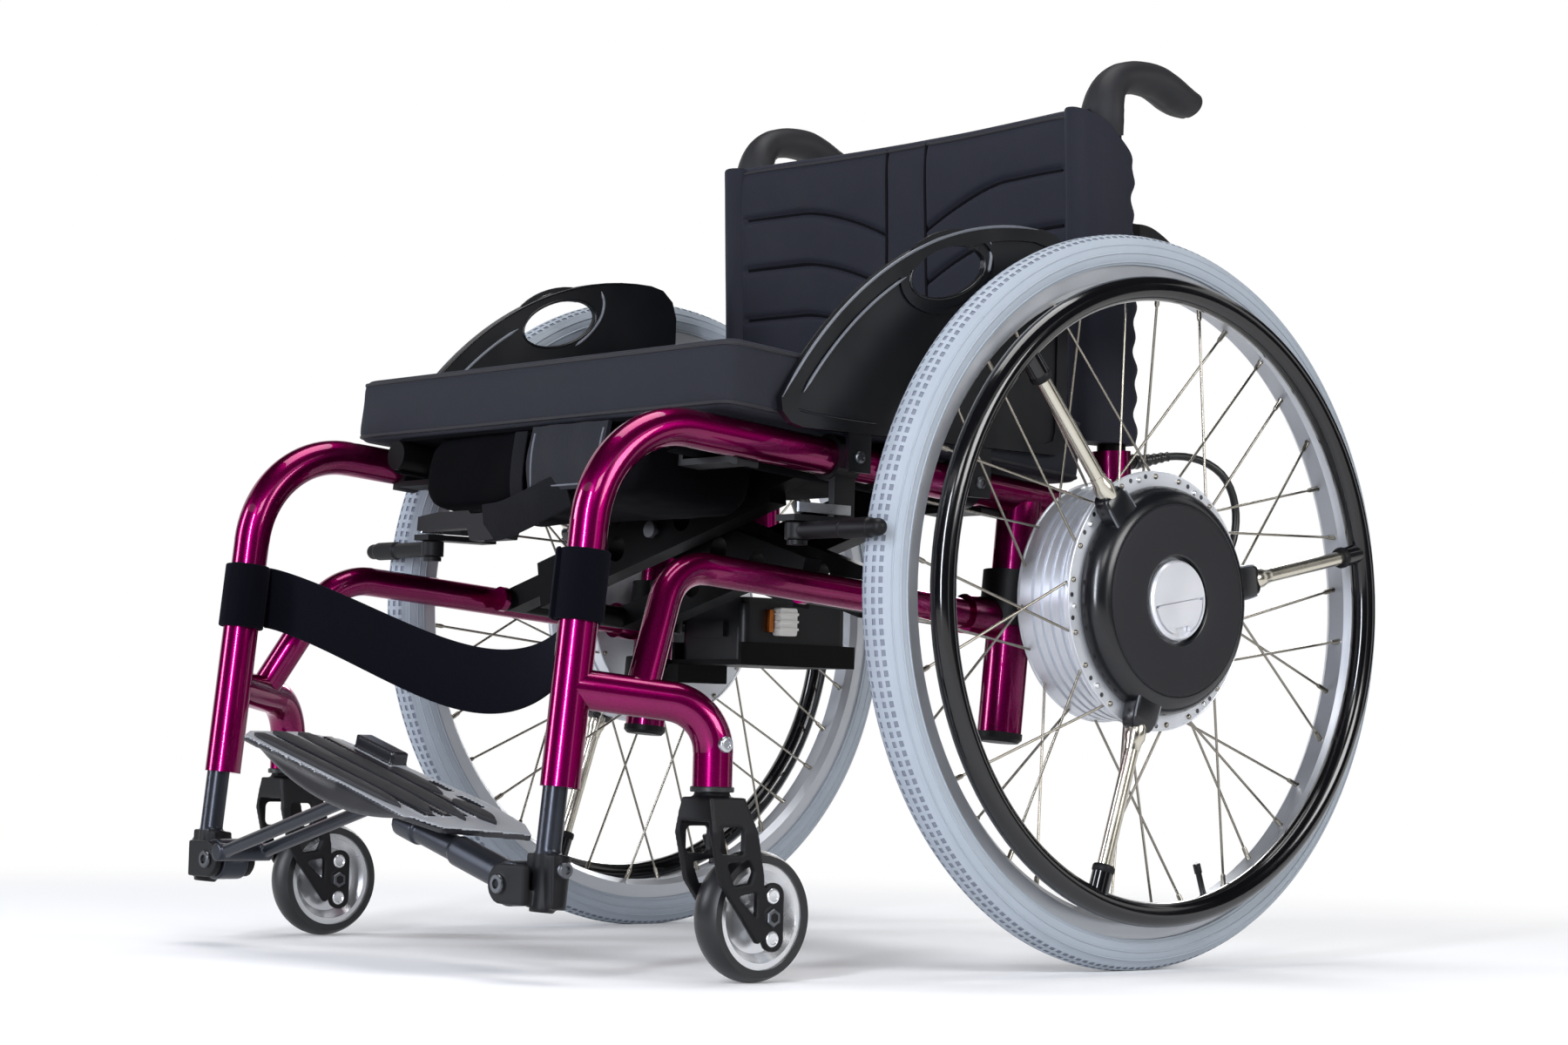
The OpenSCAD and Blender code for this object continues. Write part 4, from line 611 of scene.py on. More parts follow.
def make_back():
    """Padded back panel: two side fields with sewn arched channels and a plain band between them."""
    columns = np.linspace(-BACK_HALF, BACK_HALF, 93)
    rows = np.linspace(BACK_LOW, BACK_TOP, 59)
    x, z = np.meshgrid(columns, rows)
    soft = 9 * np.abs(x / BACK_HALF) ** 16 + 8 * np.abs(2 * (z - BACK_LOW) / (BACK_TOP - BACK_LOW) - 1) ** 18
    rear = back_rear(x, z)
    front = rear - BACK_T + soft
    n, m = len(columns), len(rows)
    points = [at(x[j, i], f[j, i], z[j, i]) for f in (front, rear) for j in range(m) for i in range(n)]
    faces = []
    for j in range(m - 1):
        for i in range(n - 1):
            a = j * n + i
            faces += [(a, a + 1, a + n + 1, a + n), (m * n + a, m * n + a + n, m * n + a + n + 1, m * n + a + 1)]
    rim = list(range(n)) + [j * n + n - 1 for j in range(1, m)] \
        + [(m - 1) * n + i for i in range(n - 2, -1, -1)] + [j * n for j in range(m - 2, 0, -1)]
    faces += [(a, a + m * n, b + m * n, b) for a, b in zip(rim, rim[1:] + rim[:1])]
    panel = piece("back_panel", (points, faces), BACK_CLOTH)
    line = np.abs(np.abs(x) - BACK_BAND) < 3
    for height in channel_lines(x):
        line |= (np.abs(z - height) < 3) & (np.abs(x) > BACK_BAND) & (np.abs(x) < 212)
    line |= (np.abs(x) > 222) | (z < BACK_LOW + 8) | (z > BACK_TOP - 8)
    puff(panel, np.concatenate([np.where(line.ravel())[0], np.arange(m * n, 2 * m * n)]), 0.0055)
    finer(panel)

    def sewn(p):
        x, z = p[:, 0] / MM, p[:, 2] / MM
        y = p[:, 1] / MM - AXLE_BACK
        face = np.clip((back_rear(x, z) - y - 4) / 6, 0, 1)
        deep = np.exp(-((np.abs(x) - BACK_BAND) / 2.0) ** 2) * 2.2 * np.clip((BACK_TOP - 4 - z) / 6, 0, 1)
        run = np.clip((np.abs(x) - BACK_BAND + 2) / 3, 0, 1) * np.clip((214 - np.abs(x)) / 3, 0, 1)
        for height in channel_lines(x):
            deep = np.maximum(deep, np.exp(-((z - height) / 2.6) ** 2) * 5.0 * run)
        out = p.copy()
        out[:, 1] += face * (deep + wrinkle(p, 0.05, 0.9)) * MM
        return out

    moulded(panel, sewn)
    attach(panel, "right_frame")
    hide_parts("back_upholstery")
    skin = skin_of(panel)
    end = BACK_HALF - 6
    edge = [(x, BACK_TOP - 5) for x in np.linspace(-end, end, 60)] \
        + [(end, z) for z in np.linspace(BACK_TOP - 12, BACK_LOW + 12, 40)] \
        + [(x, BACK_LOW + 5) for x in np.linspace(end, -end, 60)] \
        + [(-end, z) for z in np.linspace(BACK_LOW + 12, BACK_TOP - 12, 40)]
    path = [skin.find_nearest(at(x, back_rear(x, z) - BACK_T - 4, z))[0] for x, z in edge]
    piping = piece("back_panel_piping", sweep(path, circle(1.5, 8), closed=True), PIPING, "right_frame")
    seams = []
    for way in (-1, 1):
        for k in range(5):
            row = [(x, float(channel_lines(np.array(x))[k])) for x in way * np.linspace(BACK_BAND + 1, 209, 60)]
            seams.append([(x, z) for x, z in row if z > BACK_LOW + 8])
        seams.append([(way * BACK_BAND, z) for z in np.linspace(BACK_LOW + 8, BACK_TOP - 6, 70)])
    # A black cord in each channel's groove: its stitching, and painted shade of the groove
    lines = []
    for row in seams:
        deep = [skin.ray_cast(at(x, -60, z), Vector((0, 1, 0)))[0].y for x, z in row]
        even = np.convolve(np.pad(deep, 4, "edge"), np.ones(9) / 9, "valid")
        lines.append(sweep([Vector((x * MM, y, z * MM)) for (x, z), y in zip(row, even)], circle(1.7, 8),
                           up=Vector((0, -1, 0))))
    channel_shade = piece("back_panel_stitching", joined(*lines), CHANNEL_SHADE_CORD, "right_frame")
    for obj in (panel, piping, channel_shade):
        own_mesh(obj)


def make_sleeves():
    """Cloth boxing at each end of the back panel, wrapped round the post and held behind it by loops."""
    for side, s in SIDES:
        rings = []
        for t in np.linspace(0, 1, 72):
            ring = []
            for o, y, top in ((214, -36, 736), (224, -43, 736), (234, -42, 735), (243, -34, 731), (248.5, -20, 724),
                              (250, -4, 712), (249, 9, 700), (244, 18, 692), (234, 22, 690), (222, 20, 690),
                              (214, 12, 694), (212, 0, 706), (211, -14, 718), (211, -26, 730)):
                z = 446 + (top - 446) * t
                # Loops pull the cloth in behind the post at an even pitch
                behind = max(0.0, (y + 4) / 26)
                pull = behind * (2.6 * math.cos(2 * math.pi * z / 27.0) + 1.5 * math.sin(2 * math.pi * z / 61.0))
                pull += 1.1 * math.sin(z / 17.0 + o) * max(0.0, 1 - abs(y + 16) / 30)
                mid = 231 + (o - 231) * (1 + pull / 60)
                ring.append(at(mid, cane_y(z) + y + pull * 0.8, z))
            rings.append(through(ring + ring[:1], 57)[:-1])
        sleeve = side_piece(side, s, "_post_sleeve", [skinned(rings)], BACK_CLOTH, "_frame", 60)


STRAP_Z, STRAP_W = 294.0, 52.0


def make_calf_strap():
    """Loop-faced calf strap: a sagging band and a wrap with an overlapping tail round each front tube."""
    rings = []
    half, behind, drop = 233, 44, 70  # half its span, and how far it hangs back and down
    for t in np.linspace(0, 1, 90):
        sag = math.sin(math.pi * t ** 1.35)  # lowest a little to the left of the middle
        lean = 0.3 * sag
        c = Vector((half * (2 * t - 1), front_y(STRAP_Z) + 20 + behind * sag, STRAP_Z - drop * sag))
        c.y += 1.5 * math.sin(9 * t) * sag
        rings.append([at(c.x, c.y + b * lean + a, c.z + b - a * lean)
                      for a, b in strap_section(STRAP_W, 3.6)])
    band = piece("calf_strap_band", skinned(rings), STRAP_VELOUR, "right_frame")
    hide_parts("calf_strap")
    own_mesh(band)
    for side, s in SIDES:
        axis = Vector((0, math.tan(math.radians(6)), 1)).normalized()
        turn = placing(at(FRAME_X, front_y(STRAP_Z), STRAP_Z), axis, (1, 0, 0))
        path = []
        for a in np.linspace(math.radians(-200), math.radians(250), 84):
            r = 17.4 + 3.4 * np.clip((a - math.radians(140)) / math.radians(60), 0, 1) + 0.3 * math.sin(5 * a)
            path.append(turn @ Vector((r * math.cos(a) * MM, r * math.sin(a) * MM, 0)))
        wrap = side_piece(side, s, "_calf_strap_wrap", [sweep(path, strap_section(STRAP_W + 2, 3.2), up=axis)],
                          STRAP_VELOUR, "_frame")


def make_sling():
    """Seat sling: cloth stretched between the rails, sleeves round them, front pouch, flap, belt and buckle."""
    rail_x, rail_z = 185, 3
    outer, inner = [], []
    for a in np.linspace(math.radians(-100), math.radians(90), 20):
        for kept, r in ((outer, 15.5), (inner, 13.1)):
            kept.append((rail_x + r * math.cos(a), rail_z + r * math.sin(a)))
    for x in np.linspace(165, 0, 18):
        outer.append((x, 18.8))
        inner.append((x, 16.2))
    section = outer + [(-x, z) for x, z in outer[-2::-1]] + [(-x, z) for x, z in inner] + inner[-2::-1]
    rings = [[on_seat(x, y, z) for x, z in section] for y in np.linspace(6, 382, 24)]
    sling = piece("seat_sling_sheet", skinned(rings), SLING_CLOTH)
    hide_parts("seat_sling")

    half, deep, r = 150, 62, 24
    outline = [(half - r, 0)] + [(half - r + r * math.sin(a), -r + r * math.cos(a))
                                 for a in np.linspace(0, math.pi / 2, 7)]
    outline += [(half - r + r * math.cos(a), r - deep - r * math.sin(a)) for a in np.linspace(0, math.pi / 2, 7)]
    outline += [(-x, z) for x, z in reversed(outline[1:])]
    rings = []
    for y, k in ((8, 8), (9.5, 3), (13, 0), (40, 0), (67, 0), (94, 0), (121, 0), (124.5, 3), (126, 8)):
        rings.append([on_seat(x * (1 - k / 150), y, 17 - 31 + (z + 31) * (1 - k / 31)) for x, z in outline])
    pouch = remeshed("seat_pouch", skinned(rings), 0.006, SLING_CLOTH)
    q = seat_frame(points_of(pouch))
    puff(pouch, np.where((q[:, 2] > 10) | (np.abs(q[:, 0]) > 140) | (np.abs(np.abs(q[:, 0] + 3) - 52) < 4))[0],
         0.009)
    finer(pouch)
    moulded(pouch, lambda p: p + np.outer(wrinkle(p * np.array([1, 1, 0.6]), 0.035, 0.0028), (0, -1, 0.4)))

    cells = [[on_seat(10 + 100 * i / 12 + 0.8 * math.sin(j * 0.9), 1.0 - 3.4 * math.sin(math.pi * j / 9)
                      + 1.2 * math.sin(1.3 * i), 17 - 54 * j / 9) for i in range(13)] for j in range(10)]
    back = [[p + Vector((0, 4 * MM, 0)) for p in row] for row in cells]
    rings = [row + back[j][::-1] for j, row in enumerate(cells)]
    flap = piece("seat_pouch_flap", skinned(rings), FLAP_CLOTH, smooth=60)
    edge = [on_seat(10 + 100 * u, -2.6, 17 - 54 * v) for u, v in
            [(0.05, 0.1 + 0.85 * k / 12) for k in range(13)] + [(0.05 + 0.9 * k / 20, 0.95) for k in range(1, 21)]
            + [(0.95, 0.95 - 0.85 * k / 12) for k in range(1, 13)]]
    skin = skin_of(flap)
    seam = piece("seat_pouch_seam", sweep([skin.find_nearest(p)[0] for p in edge], circle(0.9, 6)), THREAD)
    strap = piece("seat_pouch_strap", sweep(through([on_seat(-6, y, z) for y, z in (
        (2, 14), (0.5, -8), (1, -30), (6, -47), (16, -52))], 24),
        [(b, a) for a, b in strap_section(17, 2.0)], up=Vector((0, -1, 0))), WEBBING)
    belt = piece("seat_belt", sweep(through([on_seat(x, y, z) for x, y, z in (
        (60, 4, -36), (40, 0, -44), (10, -2, -54), (-20, 0, -60), (-50, 4, -61))], 28),
        strap_section(32, 2.2)), WEBBING)
    tongue = [(-147, -64), (-147, -52), (-118, -49), (-74, -49), (-70, -52), (-14, -52), (-10, -49), (12, -49),
              (12, -62), (-12, -64), (-16, -75), (-68, -75), (-74, -64)]
    turn = placing(on_seat(0, 15, 0), on_seat(0, -1, 0) - on_seat(0, 0, 0), (1, 0, 0))
    buckle = piece("seat_belt_buckle", prism(tongue, turn, 12), NYLON)
    for obj in (sling, pouch, flap, seam, strap, belt, buckle):
        folding(obj)


# Drive wheels: drawn on the left wheel's own axes, z outboard, x up and y forward, then mirrored

WHEEL = placing(at(WHEEL_X, 0, WHEEL_R), (1, 0, 0), (0, 0, 1))
TYRE_C, TYRE_R = 287.0, 18.0
ROD_TURNS = [math.radians(t) for t in (-78, 42, 162)]


def on_wheel(r, turn, u):
    """A point of the left wheel, at a radius, an angle in radians and a distance outboard, in mm."""
    return WHEEL @ Vector((r * math.cos(turn) * MM, r * math.sin(turn) * MM, u * MM))


def make_tread(side, s):
    """Raised tread with two rows of pockets at each shoulder."""
    count, bridge = 236, 0.4
    lines = [-47, -37.5, -27.5, -18.5, -8.5, 8.5, 18.5, 27.5, 37.5, 47]
    pockets = {1, 3, 5, 7}

    def skin(turn, phi, h):
        a = math.radians(phi)
        return on_wheel(TYRE_C + (TYRE_R + h) * math.cos(a), turn, (TYRE_R + h) * math.sin(a))

    turns = [2 * math.pi * (k + e) / count for k in range(count) for e in (0, bridge)]
    n = len(lines)
    points = [skin(t, phi, 0.85 if 0 < j < n - 1 else -0.1) for t in turns for j, phi in enumerate(lines)]
    faces, dark = [], []
    for i in range(len(turns)):
        k = (i + 1) % len(turns)
        for j in range(n - 1):
            corners = (i * n + j, i * n + j + 1, k * n + j + 1, k * n + j)
            if i % 2 and j in pockets:
                t0, t1 = turns[i], turns[k] if k else 2 * math.pi
                floor = len(points)
                points += [skin(t0, lines[j], 0.1), skin(t0, lines[j + 1], 0.1), skin(t1, lines[j + 1], 0.1),
                           skin(t1, lines[j], 0.1)]
                ring = range(floor, floor + 4)
                faces += [(corners[e], corners[(e + 1) % 4], ring[(e + 1) % 4], ring[e]) for e in range(4)]
                dark += range(len(faces) - 4, len(faces) + 1)
                faces.append(tuple(ring))
            else:
                faces.append(corners)
    tread = side_piece(side, s, "_tread", [(points, faces)], TYRE_RUBBER, "_wheel", 30)
    # Moulded rings on the sidewalls
    rings = [sweep([skin(t, phi, 0.05) for t in np.linspace(0, 2 * math.pi, 200, endpoint=False)],
                   circle(r, 8), closed=True, up=Vector((1, 0, 0)))
             for phi, r in ((60, 0.7), (84, 0.9), (108, 0.7), (-60, 0.7), (-84, 0.9), (-108, 0.7))]
    side_piece(side, s, "_sidewall_rings", rings, TYRE_RUBBER, "_wheel")
    # The pockets' walls and floors take the darker rubber: painted shade in the recesses
    tread.data.materials.append(POCKET_SHADE_RUBBER)
    for f in dark:
        tread.data.polygons[f].material_index = 1


def ball(where, r, axis, n=10):
    """A low domed head on a surface."""
    return lathe([(r, 0), (r * 0.92, r * 0.45), (r * 0.6, r * 0.78), (r * 0.2, r * 0.92)], placing(where, axis), n)


def make_wheel_details(side, s):
    """Spoke heads, nipples, flange screws, valve, drum edges and rod ends of one wheel."""
    heads, nipples, dots, holes, rods, ends = [], [], [], [], [], []
    out = Vector((1, 0, 0))
    flange_u, drum_u, rod_u = 23.0, -40.0, 33.0  # outer face, inner face and tie rods
    rim_r, spokes, lean = 264.0, 36, math.radians(22)
    for i in range(spokes):
        a = 2 * math.pi * (i + 0.5) / spokes
        b = a + lean * (1 if i // 2 % 2 == 0 else -1)
        outer = i % 2 == 0
        u, r = (20.0, 103.0) if outer else (-37.0, 96.0)
        rim = on_wheel(rim_r, a, 3 if outer else -3)
        ahead = (rim - on_wheel(r, b, u)).normalized()
        heads.append(ball(on_wheel(r, b, flange_u if outer else drum_u), 2.4, out if outer else -out))
        nipples.append(lathe([(1.5, 0), (2.1, 2), (2.1, 10), (2.7, 11), (2.7, 14)],
                             placing(rim - ahead * 13 * MM, ahead), 10))
    for k in range(9):
        a = math.radians(15 + 40 * k)
        dots.append(ball(on_wheel(102, a, flange_u), 2.6, out, 12))
        # Thin dark discs on the flange's face: painted shade standing for holes
        for d in (-5.2, 5.2):
            holes.append(lathe([(2.0, 0), (2.0, 0.25)],
                               placing(on_wheel(103.4, a + math.radians(d), flange_u - 0.05), out), 12))
    a = math.radians(200)
    valve = lathe([(3.4, 0), (3.4, 3), (2.6, 4), (2.6, 22), (3.3, 22.5), (3.3, 30), (2.4, 31)],
                  placing(on_wheel(rim_r - 1, a, 0), on_wheel(0, a, 0) - on_wheel(rim_r, a, 0)), 14)
    # Rolled edges of the drum and its flange, which catch the light
    bands = [sweep([on_wheel(r, t, u) for t in np.linspace(0, 2 * math.pi, 128, endpoint=False)], circle(w, 8),
                   closed=True, up=out)
             for r, u, w in ((100.0, drum_u, 1.2), (100.0, 13.5, 1.0), (107.0, 18.0, 0.8), (107.0, 22.6, 0.8))]
    for a in ROD_TURNS:
        along = on_wheel(1, a, 0) - on_wheel(0, a, 0)
        rods.append(lathe([(7.6, 0), (8.6, 2), (8.6, 12), (7.0, 16), (6.4, 22)],
                          placing(on_wheel(108, a, rod_u), along), 24))
        ends.append(lathe([(8.4, 0), (9.2, 1.5), (9.2, 5), (8.4, 6.5)], placing(on_wheel(228, a, rod_u), along), 24))
    side_piece(side, s, "_spoke_heads", heads + nipples, SPOKE_STEEL, "_wheel")
    side_piece(side, s, "_flange_screws", dots, POLISHED, "_wheel")
    side_piece(side, s, "_flange_holes", holes, DARK_STEEL, "_wheel")
    side_piece(side, s, "_valve", [valve], CABLE_PVC, "_wheel")
    side_piece(side, s, "_drum_edges", bands, SILVER_HUB, "_wheel")
    side_piece(side, s, "_rod_collars", rods, NICKEL, "_push_ring")
    side_piece(side, s, "_ferrule_rings", ends, NYLON, "_push_ring")


def rounded_ring(w, u0, u1, r):
    """A rounded rectangle, w to each side and from u0 to u1, as points in order."""
    corners = ((w - r, u1 - r, 0), (r - w, u1 - r, 1), (r - w, u0 + r, 2), (w - r, u0 + r, 3))
    return [(x + r * math.cos(math.pi / 2 * (q + i / 4)), y + r * math.sin(math.pi / 2 * (q + i / 4)))
            for x, y, q in corners for i in range(5)]


def make_hub_cover(side, s):
    """Hub cover: matt face, polished round shoulder, dark gap round the cap and three rounded rod lugs."""
    profile = [(36.3, 31), (36.3, 44.0), (36.8, 44.9), (38.0, 45.3), (56, 45.4), (77.0, 45.5), (78.2, 45.3),
               (78.7, 44.8), (79.3, 45.0), (81.5, 44.7), (84.5, 43.7), (87.5, 42.0), (90.3, 39.4), (92.6, 36.0),
               (94.2, 32.0), (95.0, 28.0), (95.1, 25.6), (94.4, 24.2), (93.0, 23.7), (40, 23.7)]
    cover = side_piece(side, s, "_cover_moulding", [lathe(profile, WHEEL, 160)], COVER_ABS, "_push_ring",
                       50)
    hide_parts(side + "_hub_cover")
    cover.data.materials.append(COVER_GLOSS)
    face_in, face_out = 37.8 * MM, 79.0 * MM  # the matt face lies between these radii
    for f in cover.data.polygons:
        middle = f.center - at(s * WHEEL_X, 0, WHEEL_R)
        if not face_in <= math.hypot(middle.y, middle.z) <= face_out:
            f.material_index = 1
    lugs, edges = [], []
    for a in ROD_TURNS:
        turn = WHEEL @ Matrix.Rotation(a, 4, "Z") @ Matrix.Scale(MM, 4)
        rings = [[turn @ Vector((r, t, u)) for t, u in rounded_ring(w, 25, top, ease)]
                 for r, w, top, ease in ((78, 14.5, 41.5, 3.2), (92, 14.5, 41.5, 3.2), (103, 13.6, 41.2, 3.2),
                                         (109, 12.2, 40.6, 3.4), (111.6, 10.8, 39.6, 3.6), (112.8, 9.0, 37.6, 3.8))]
        lugs.append(skinned(rings))
        # Light grey beads along each lug's sides: painted highlights
        for t in (-1, 1):
            edges.append(sweep([turn @ Vector((r, t * w, 40.4)) for r, w in (
                (86, 13.7), (93, 13.7), (100, 13.4), (105, 12.8))], circle(0.75, 8)))
    side_piece(side, s, "_cover_lugs", lugs, COVER_GLOSS, "_push_ring", 50)
    side_piece(side, s, "_lug_edges", edges, HIGHLIGHT_GREY_ABS, "_push_ring")


# Frame fittings

def casting(name, of, material, body, voxel=1.1, rounds=8, more=()):
    """A casting's soft edges: the CAD solid, with any further shapes, as one smoothed skin."""
    mesh = node[of].data
    shape = ([v.co.copy() for v in mesh.vertices], [tuple(f.vertices) for f in mesh.polygons])
    obj = remeshed(name, joined(shape, *more), voxel * MM, material)
    ease = obj.modifiers.new("eased", "SMOOTH")
    ease.factor, ease.iterations = 0.5, rounds
    made_real(obj)
    obj.data.name = name
    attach(obj, body)
    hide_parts(of)
    return obj


def repaint(obj, material, where):
    """A second material on the faces whose middle, in mm from under the axle, the test picks."""
    obj.data.materials.append(material)
    last = len(obj.data.materials) - 1
    for f in obj.data.polygons:
        x, y, z = f.center / MM
        if where(x, y - AXLE_BACK, z):
            f.material_index = last


PLATE_TILT = math.radians(15)
FOOT_X, FOOT_H = 205.0, 72.0


def on_plate(s, t, n):
    """A point of the footrest: s along it from the near hinge, t back from the hinge line, n over it."""
    c, d = math.cos(PLATE_TILT), math.sin(PLATE_TILT)
    return at(FOOT_X - s * c + n * d, front_y(FOOT_H) - 4 / math.cos(math.radians(6)) + t, FOOT_H + s * d + n * c)


def make_footrest():
    """Footrest: cast knuckles with bolts, a glossy plate with matt pads, pierced slots and a latch."""
    for side, s in SIDES:
        foot = casting(side + "_foot_casting", side + "_foot_extension", NYLON, side + "_frame",
                       1.2, 10)
        repaint(foot, BLACK_ANODISED, lambda x, y, z: z > FOOT_H + 23)
        hinge_bolt = lathe([(7.4, 0), (7.4, 1.6), (6.6, 2.6), (3.8, 2.6), (3.4, 0.8), (0.5, 0.8)],
                           placing(at(FOOT_X, front_y(FOOT_H) - 24.3, FOOT_H), (0, -1, 0)), 20)
        clamp_bolt = lathe([(6.2, 0), (6.2, 2.4), (5.4, 3.4), (3.2, 3.4), (2.8, 1.4), (0.5, 1.4)],
                           placing(at(FRAME_X + 19.3, front_y(FOOT_H) - 1, FOOT_H + 12), (1, 0, 0)), 20)
        side_piece(side, s, "_foot_bolts", [hinge_bolt, clamp_bolt], DARK_STEEL, "_frame")
    casting("foot_arm_casting", "left_foot_arm", BLACK_ANODISED, "left_foot", 1.1, 6)
    casting("foot_links_casting", "right_foot_links", BLACK_ANODISED, "right_foot", 1.1, 6)
    plate = casting("footplate_moulding", "footplate", PLATE_ABS, "left_foot", 1.2, 8)

    def top(x, y, z):
        n = (x - FOOT_X) * math.sin(PLATE_TILT) + (z - FOOT_H) * math.cos(PLATE_TILT)
        return 16.9 < n < 18.9

    repaint(plate, PLATE_GREY, top)
    pads = []
    for outline in ([(132, -24), (160, -29), (236, -33), (322, -36), (338, -30), (322, -24), (236, -19), (160, -18)],
                    [(112, -8), (150, -13), (250, -13), (330, -15), (344, -8), (330, -1), (250, 3), (150, 4)],
                    [(98, 14), (140, 9), (240, 9), (322, 8), (344, 14), (322, 22), (240, 25), (140, 24)],
                    [(88, 36), (108, 30), (136, 30), (150, 37), (136, 44), (108, 45)],
                    [(164, 37), (190, 31), (226, 32), (240, 38), (226, 44), (190, 44)]):
        flat = [Vector((x, y, 0)) for x, y in outline]
        ring = through([*flat, flat[0]], 48)[:-1]
        middle = sum(ring, Vector()) / len(ring)
        pads.append(skinned([[on_plate(*(middle + (p - middle) * k)[:2], n) for p in ring]
                             for k, n in ((1.0, 17.4), (1.0, 20.4), (0.965, 21.3), (0.9, 21.5))]))
    piece("footplate_pads", joined(*pads), GRIP_RUBBER, "left_foot", 50)


def make_caster_details():
    """Caster forks as castings with a collar ring, plated inserts in the axle holes and an axle nut."""
    hub_y = -STEM_AHEAD + CASTER_TRAIL
    up = placing(at(STEM_X, -STEM_AHEAD, 139), (0, 0, 1))
    boss = lathe([(15, -12), (15.5, -2), (14.2, 1.2), (13.2, 2.4), (13.2, 6.5)], up, 32)
    ring = lathe([(12.5, 3.6), (16.0, 3.8), (16.6, 4.4), (16.6, 7.2), (16.0, 7.9), (12.5, 8.0)], up, 48)
    inserts, nuts = [], []
    for w in (-1, 1):
        for z in (-16, 16):
            inserts.append(lathe([(4.0, -5), (4.0, -0.4), (5.8, -0.3), (6.0, 0.3), (5.4, 1.0), (4.4, 1.1), (3.8, 0.5),
                                  (0.5, 0.4)], placing(at(STEM_X + w * 23, hub_y + 1, CASTER_R + z), (w, 0, 0)), 24))
        nuts.append(lathe([(6.9, -2), (6.9, 0.4), (6.2, 1.2), (4.0, 1.3), (3.5, -0.4), (0.5, -0.5)],
                          placing(at(STEM_X + w * 25.2, hub_y, CASTER_R), (w, 0, 0)), 6))
    screw = lathe([(6.2, -2), (6.2, 1.2), (5.6, 2.0), (4.2, 2.4), (3.4, 2.4), (3.0, 1.2), (0.5, 1.2)],
                  placing(at(306, -432.6, 178.4), (1, 0.05, 0.0)), 24)
    for side, s in SIDES:
        casting(side + "_fork_casting", side + "_caster_fork", NYLON, side + "_caster", 1.1, 9,
                [mirrored(boss, s)])
        side_piece(side, s, "_stem_ring", [ring], CASTER_PU, "_caster")
        side_piece(side, s, "_fork_inserts", inserts, POLISHED, "_caster")
        side_piece(side, s, "_axle_nuts", nuts, DARK_STEEL, "_caster", 30)
        side_piece(side, s, "_housing_screw", [screw], ZINC, "_frame")


def make_grips():
    """Push grips: moulded rubber that rises from the post, turns back and flares to a drooping end."""
    line = [(48, 714), (45.5, 728), (46, 742), (52, 756.5), (64, 767), (80, 772), (95, 773.4), (110, 772.6),
            (124, 768.4), (134.5, 764.2), (143, 761.4), (149.5, 760.0), (154, 759.3), (156.6, 758.9)]
    tall = [18.0, 21.0, 21.5, 19.4, 16.6, 14.8, 15.2, 16.2, 17.6, 19.2, 20.2, 20.4, 19.6, 17.6]
    wide = [15.6, 15.8, 15.6, 15.2, 14.8, 14.2, 14.4, 14.8, 15.2, 15.4, 15.2, 15.0, 14.0, 12.2]

    def ring(t):
        h, w = (np.interp(t * (len(line) - 1), range(len(line)), sizes) for sizes in (tall, wide))
        # A moulded crease runs along each side
        return [(h * math.cos(a), w * math.sin(a) * (1 - 0.05 * math.exp(-(math.cos(a) / 0.09) ** 2)))
                for a in np.linspace(0, 2 * math.pi, 40, endpoint=False)]

    moulding = sweep(through([at(CANE_X, y, z) for y, z in line], 60), ring)
    lever = through([at(CANE_X + 2, y, z) for y, z in ((72, 632), (88, 637), (104, 637), (120, 632), (134, 625))], 24)
    bar = sweep(lever, lambda t: [(a * (1 - 0.25 * t), b * (1 - 0.3 * t))
                                  for a, b in rounded_ring(4.0, -6.0, 6.0, 2.2)])
    for side, s in SIDES:
        grip = side_piece(side, s, "_grip_moulding", [moulding], GRIP_RUBBER, "_frame", 60)
        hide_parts(side + "_push_grip")
        side_piece(side, s, "_post_lever", [bar], NYLON, "_frame", 50)


def guard_edge(t):
    """Front edge of the side guard in mm, from its top at 0 to its low front corner at 1."""
    p = ((-60, 616), (-170, 620), (-280, 560), (-349, 449))
    return [(1 - t) ** 3 * a + 3 * t * (1 - t) ** 2 * b + 3 * t * t * (1 - t) * c + t ** 3 * d
            for a, b, c, d in zip(*p)]


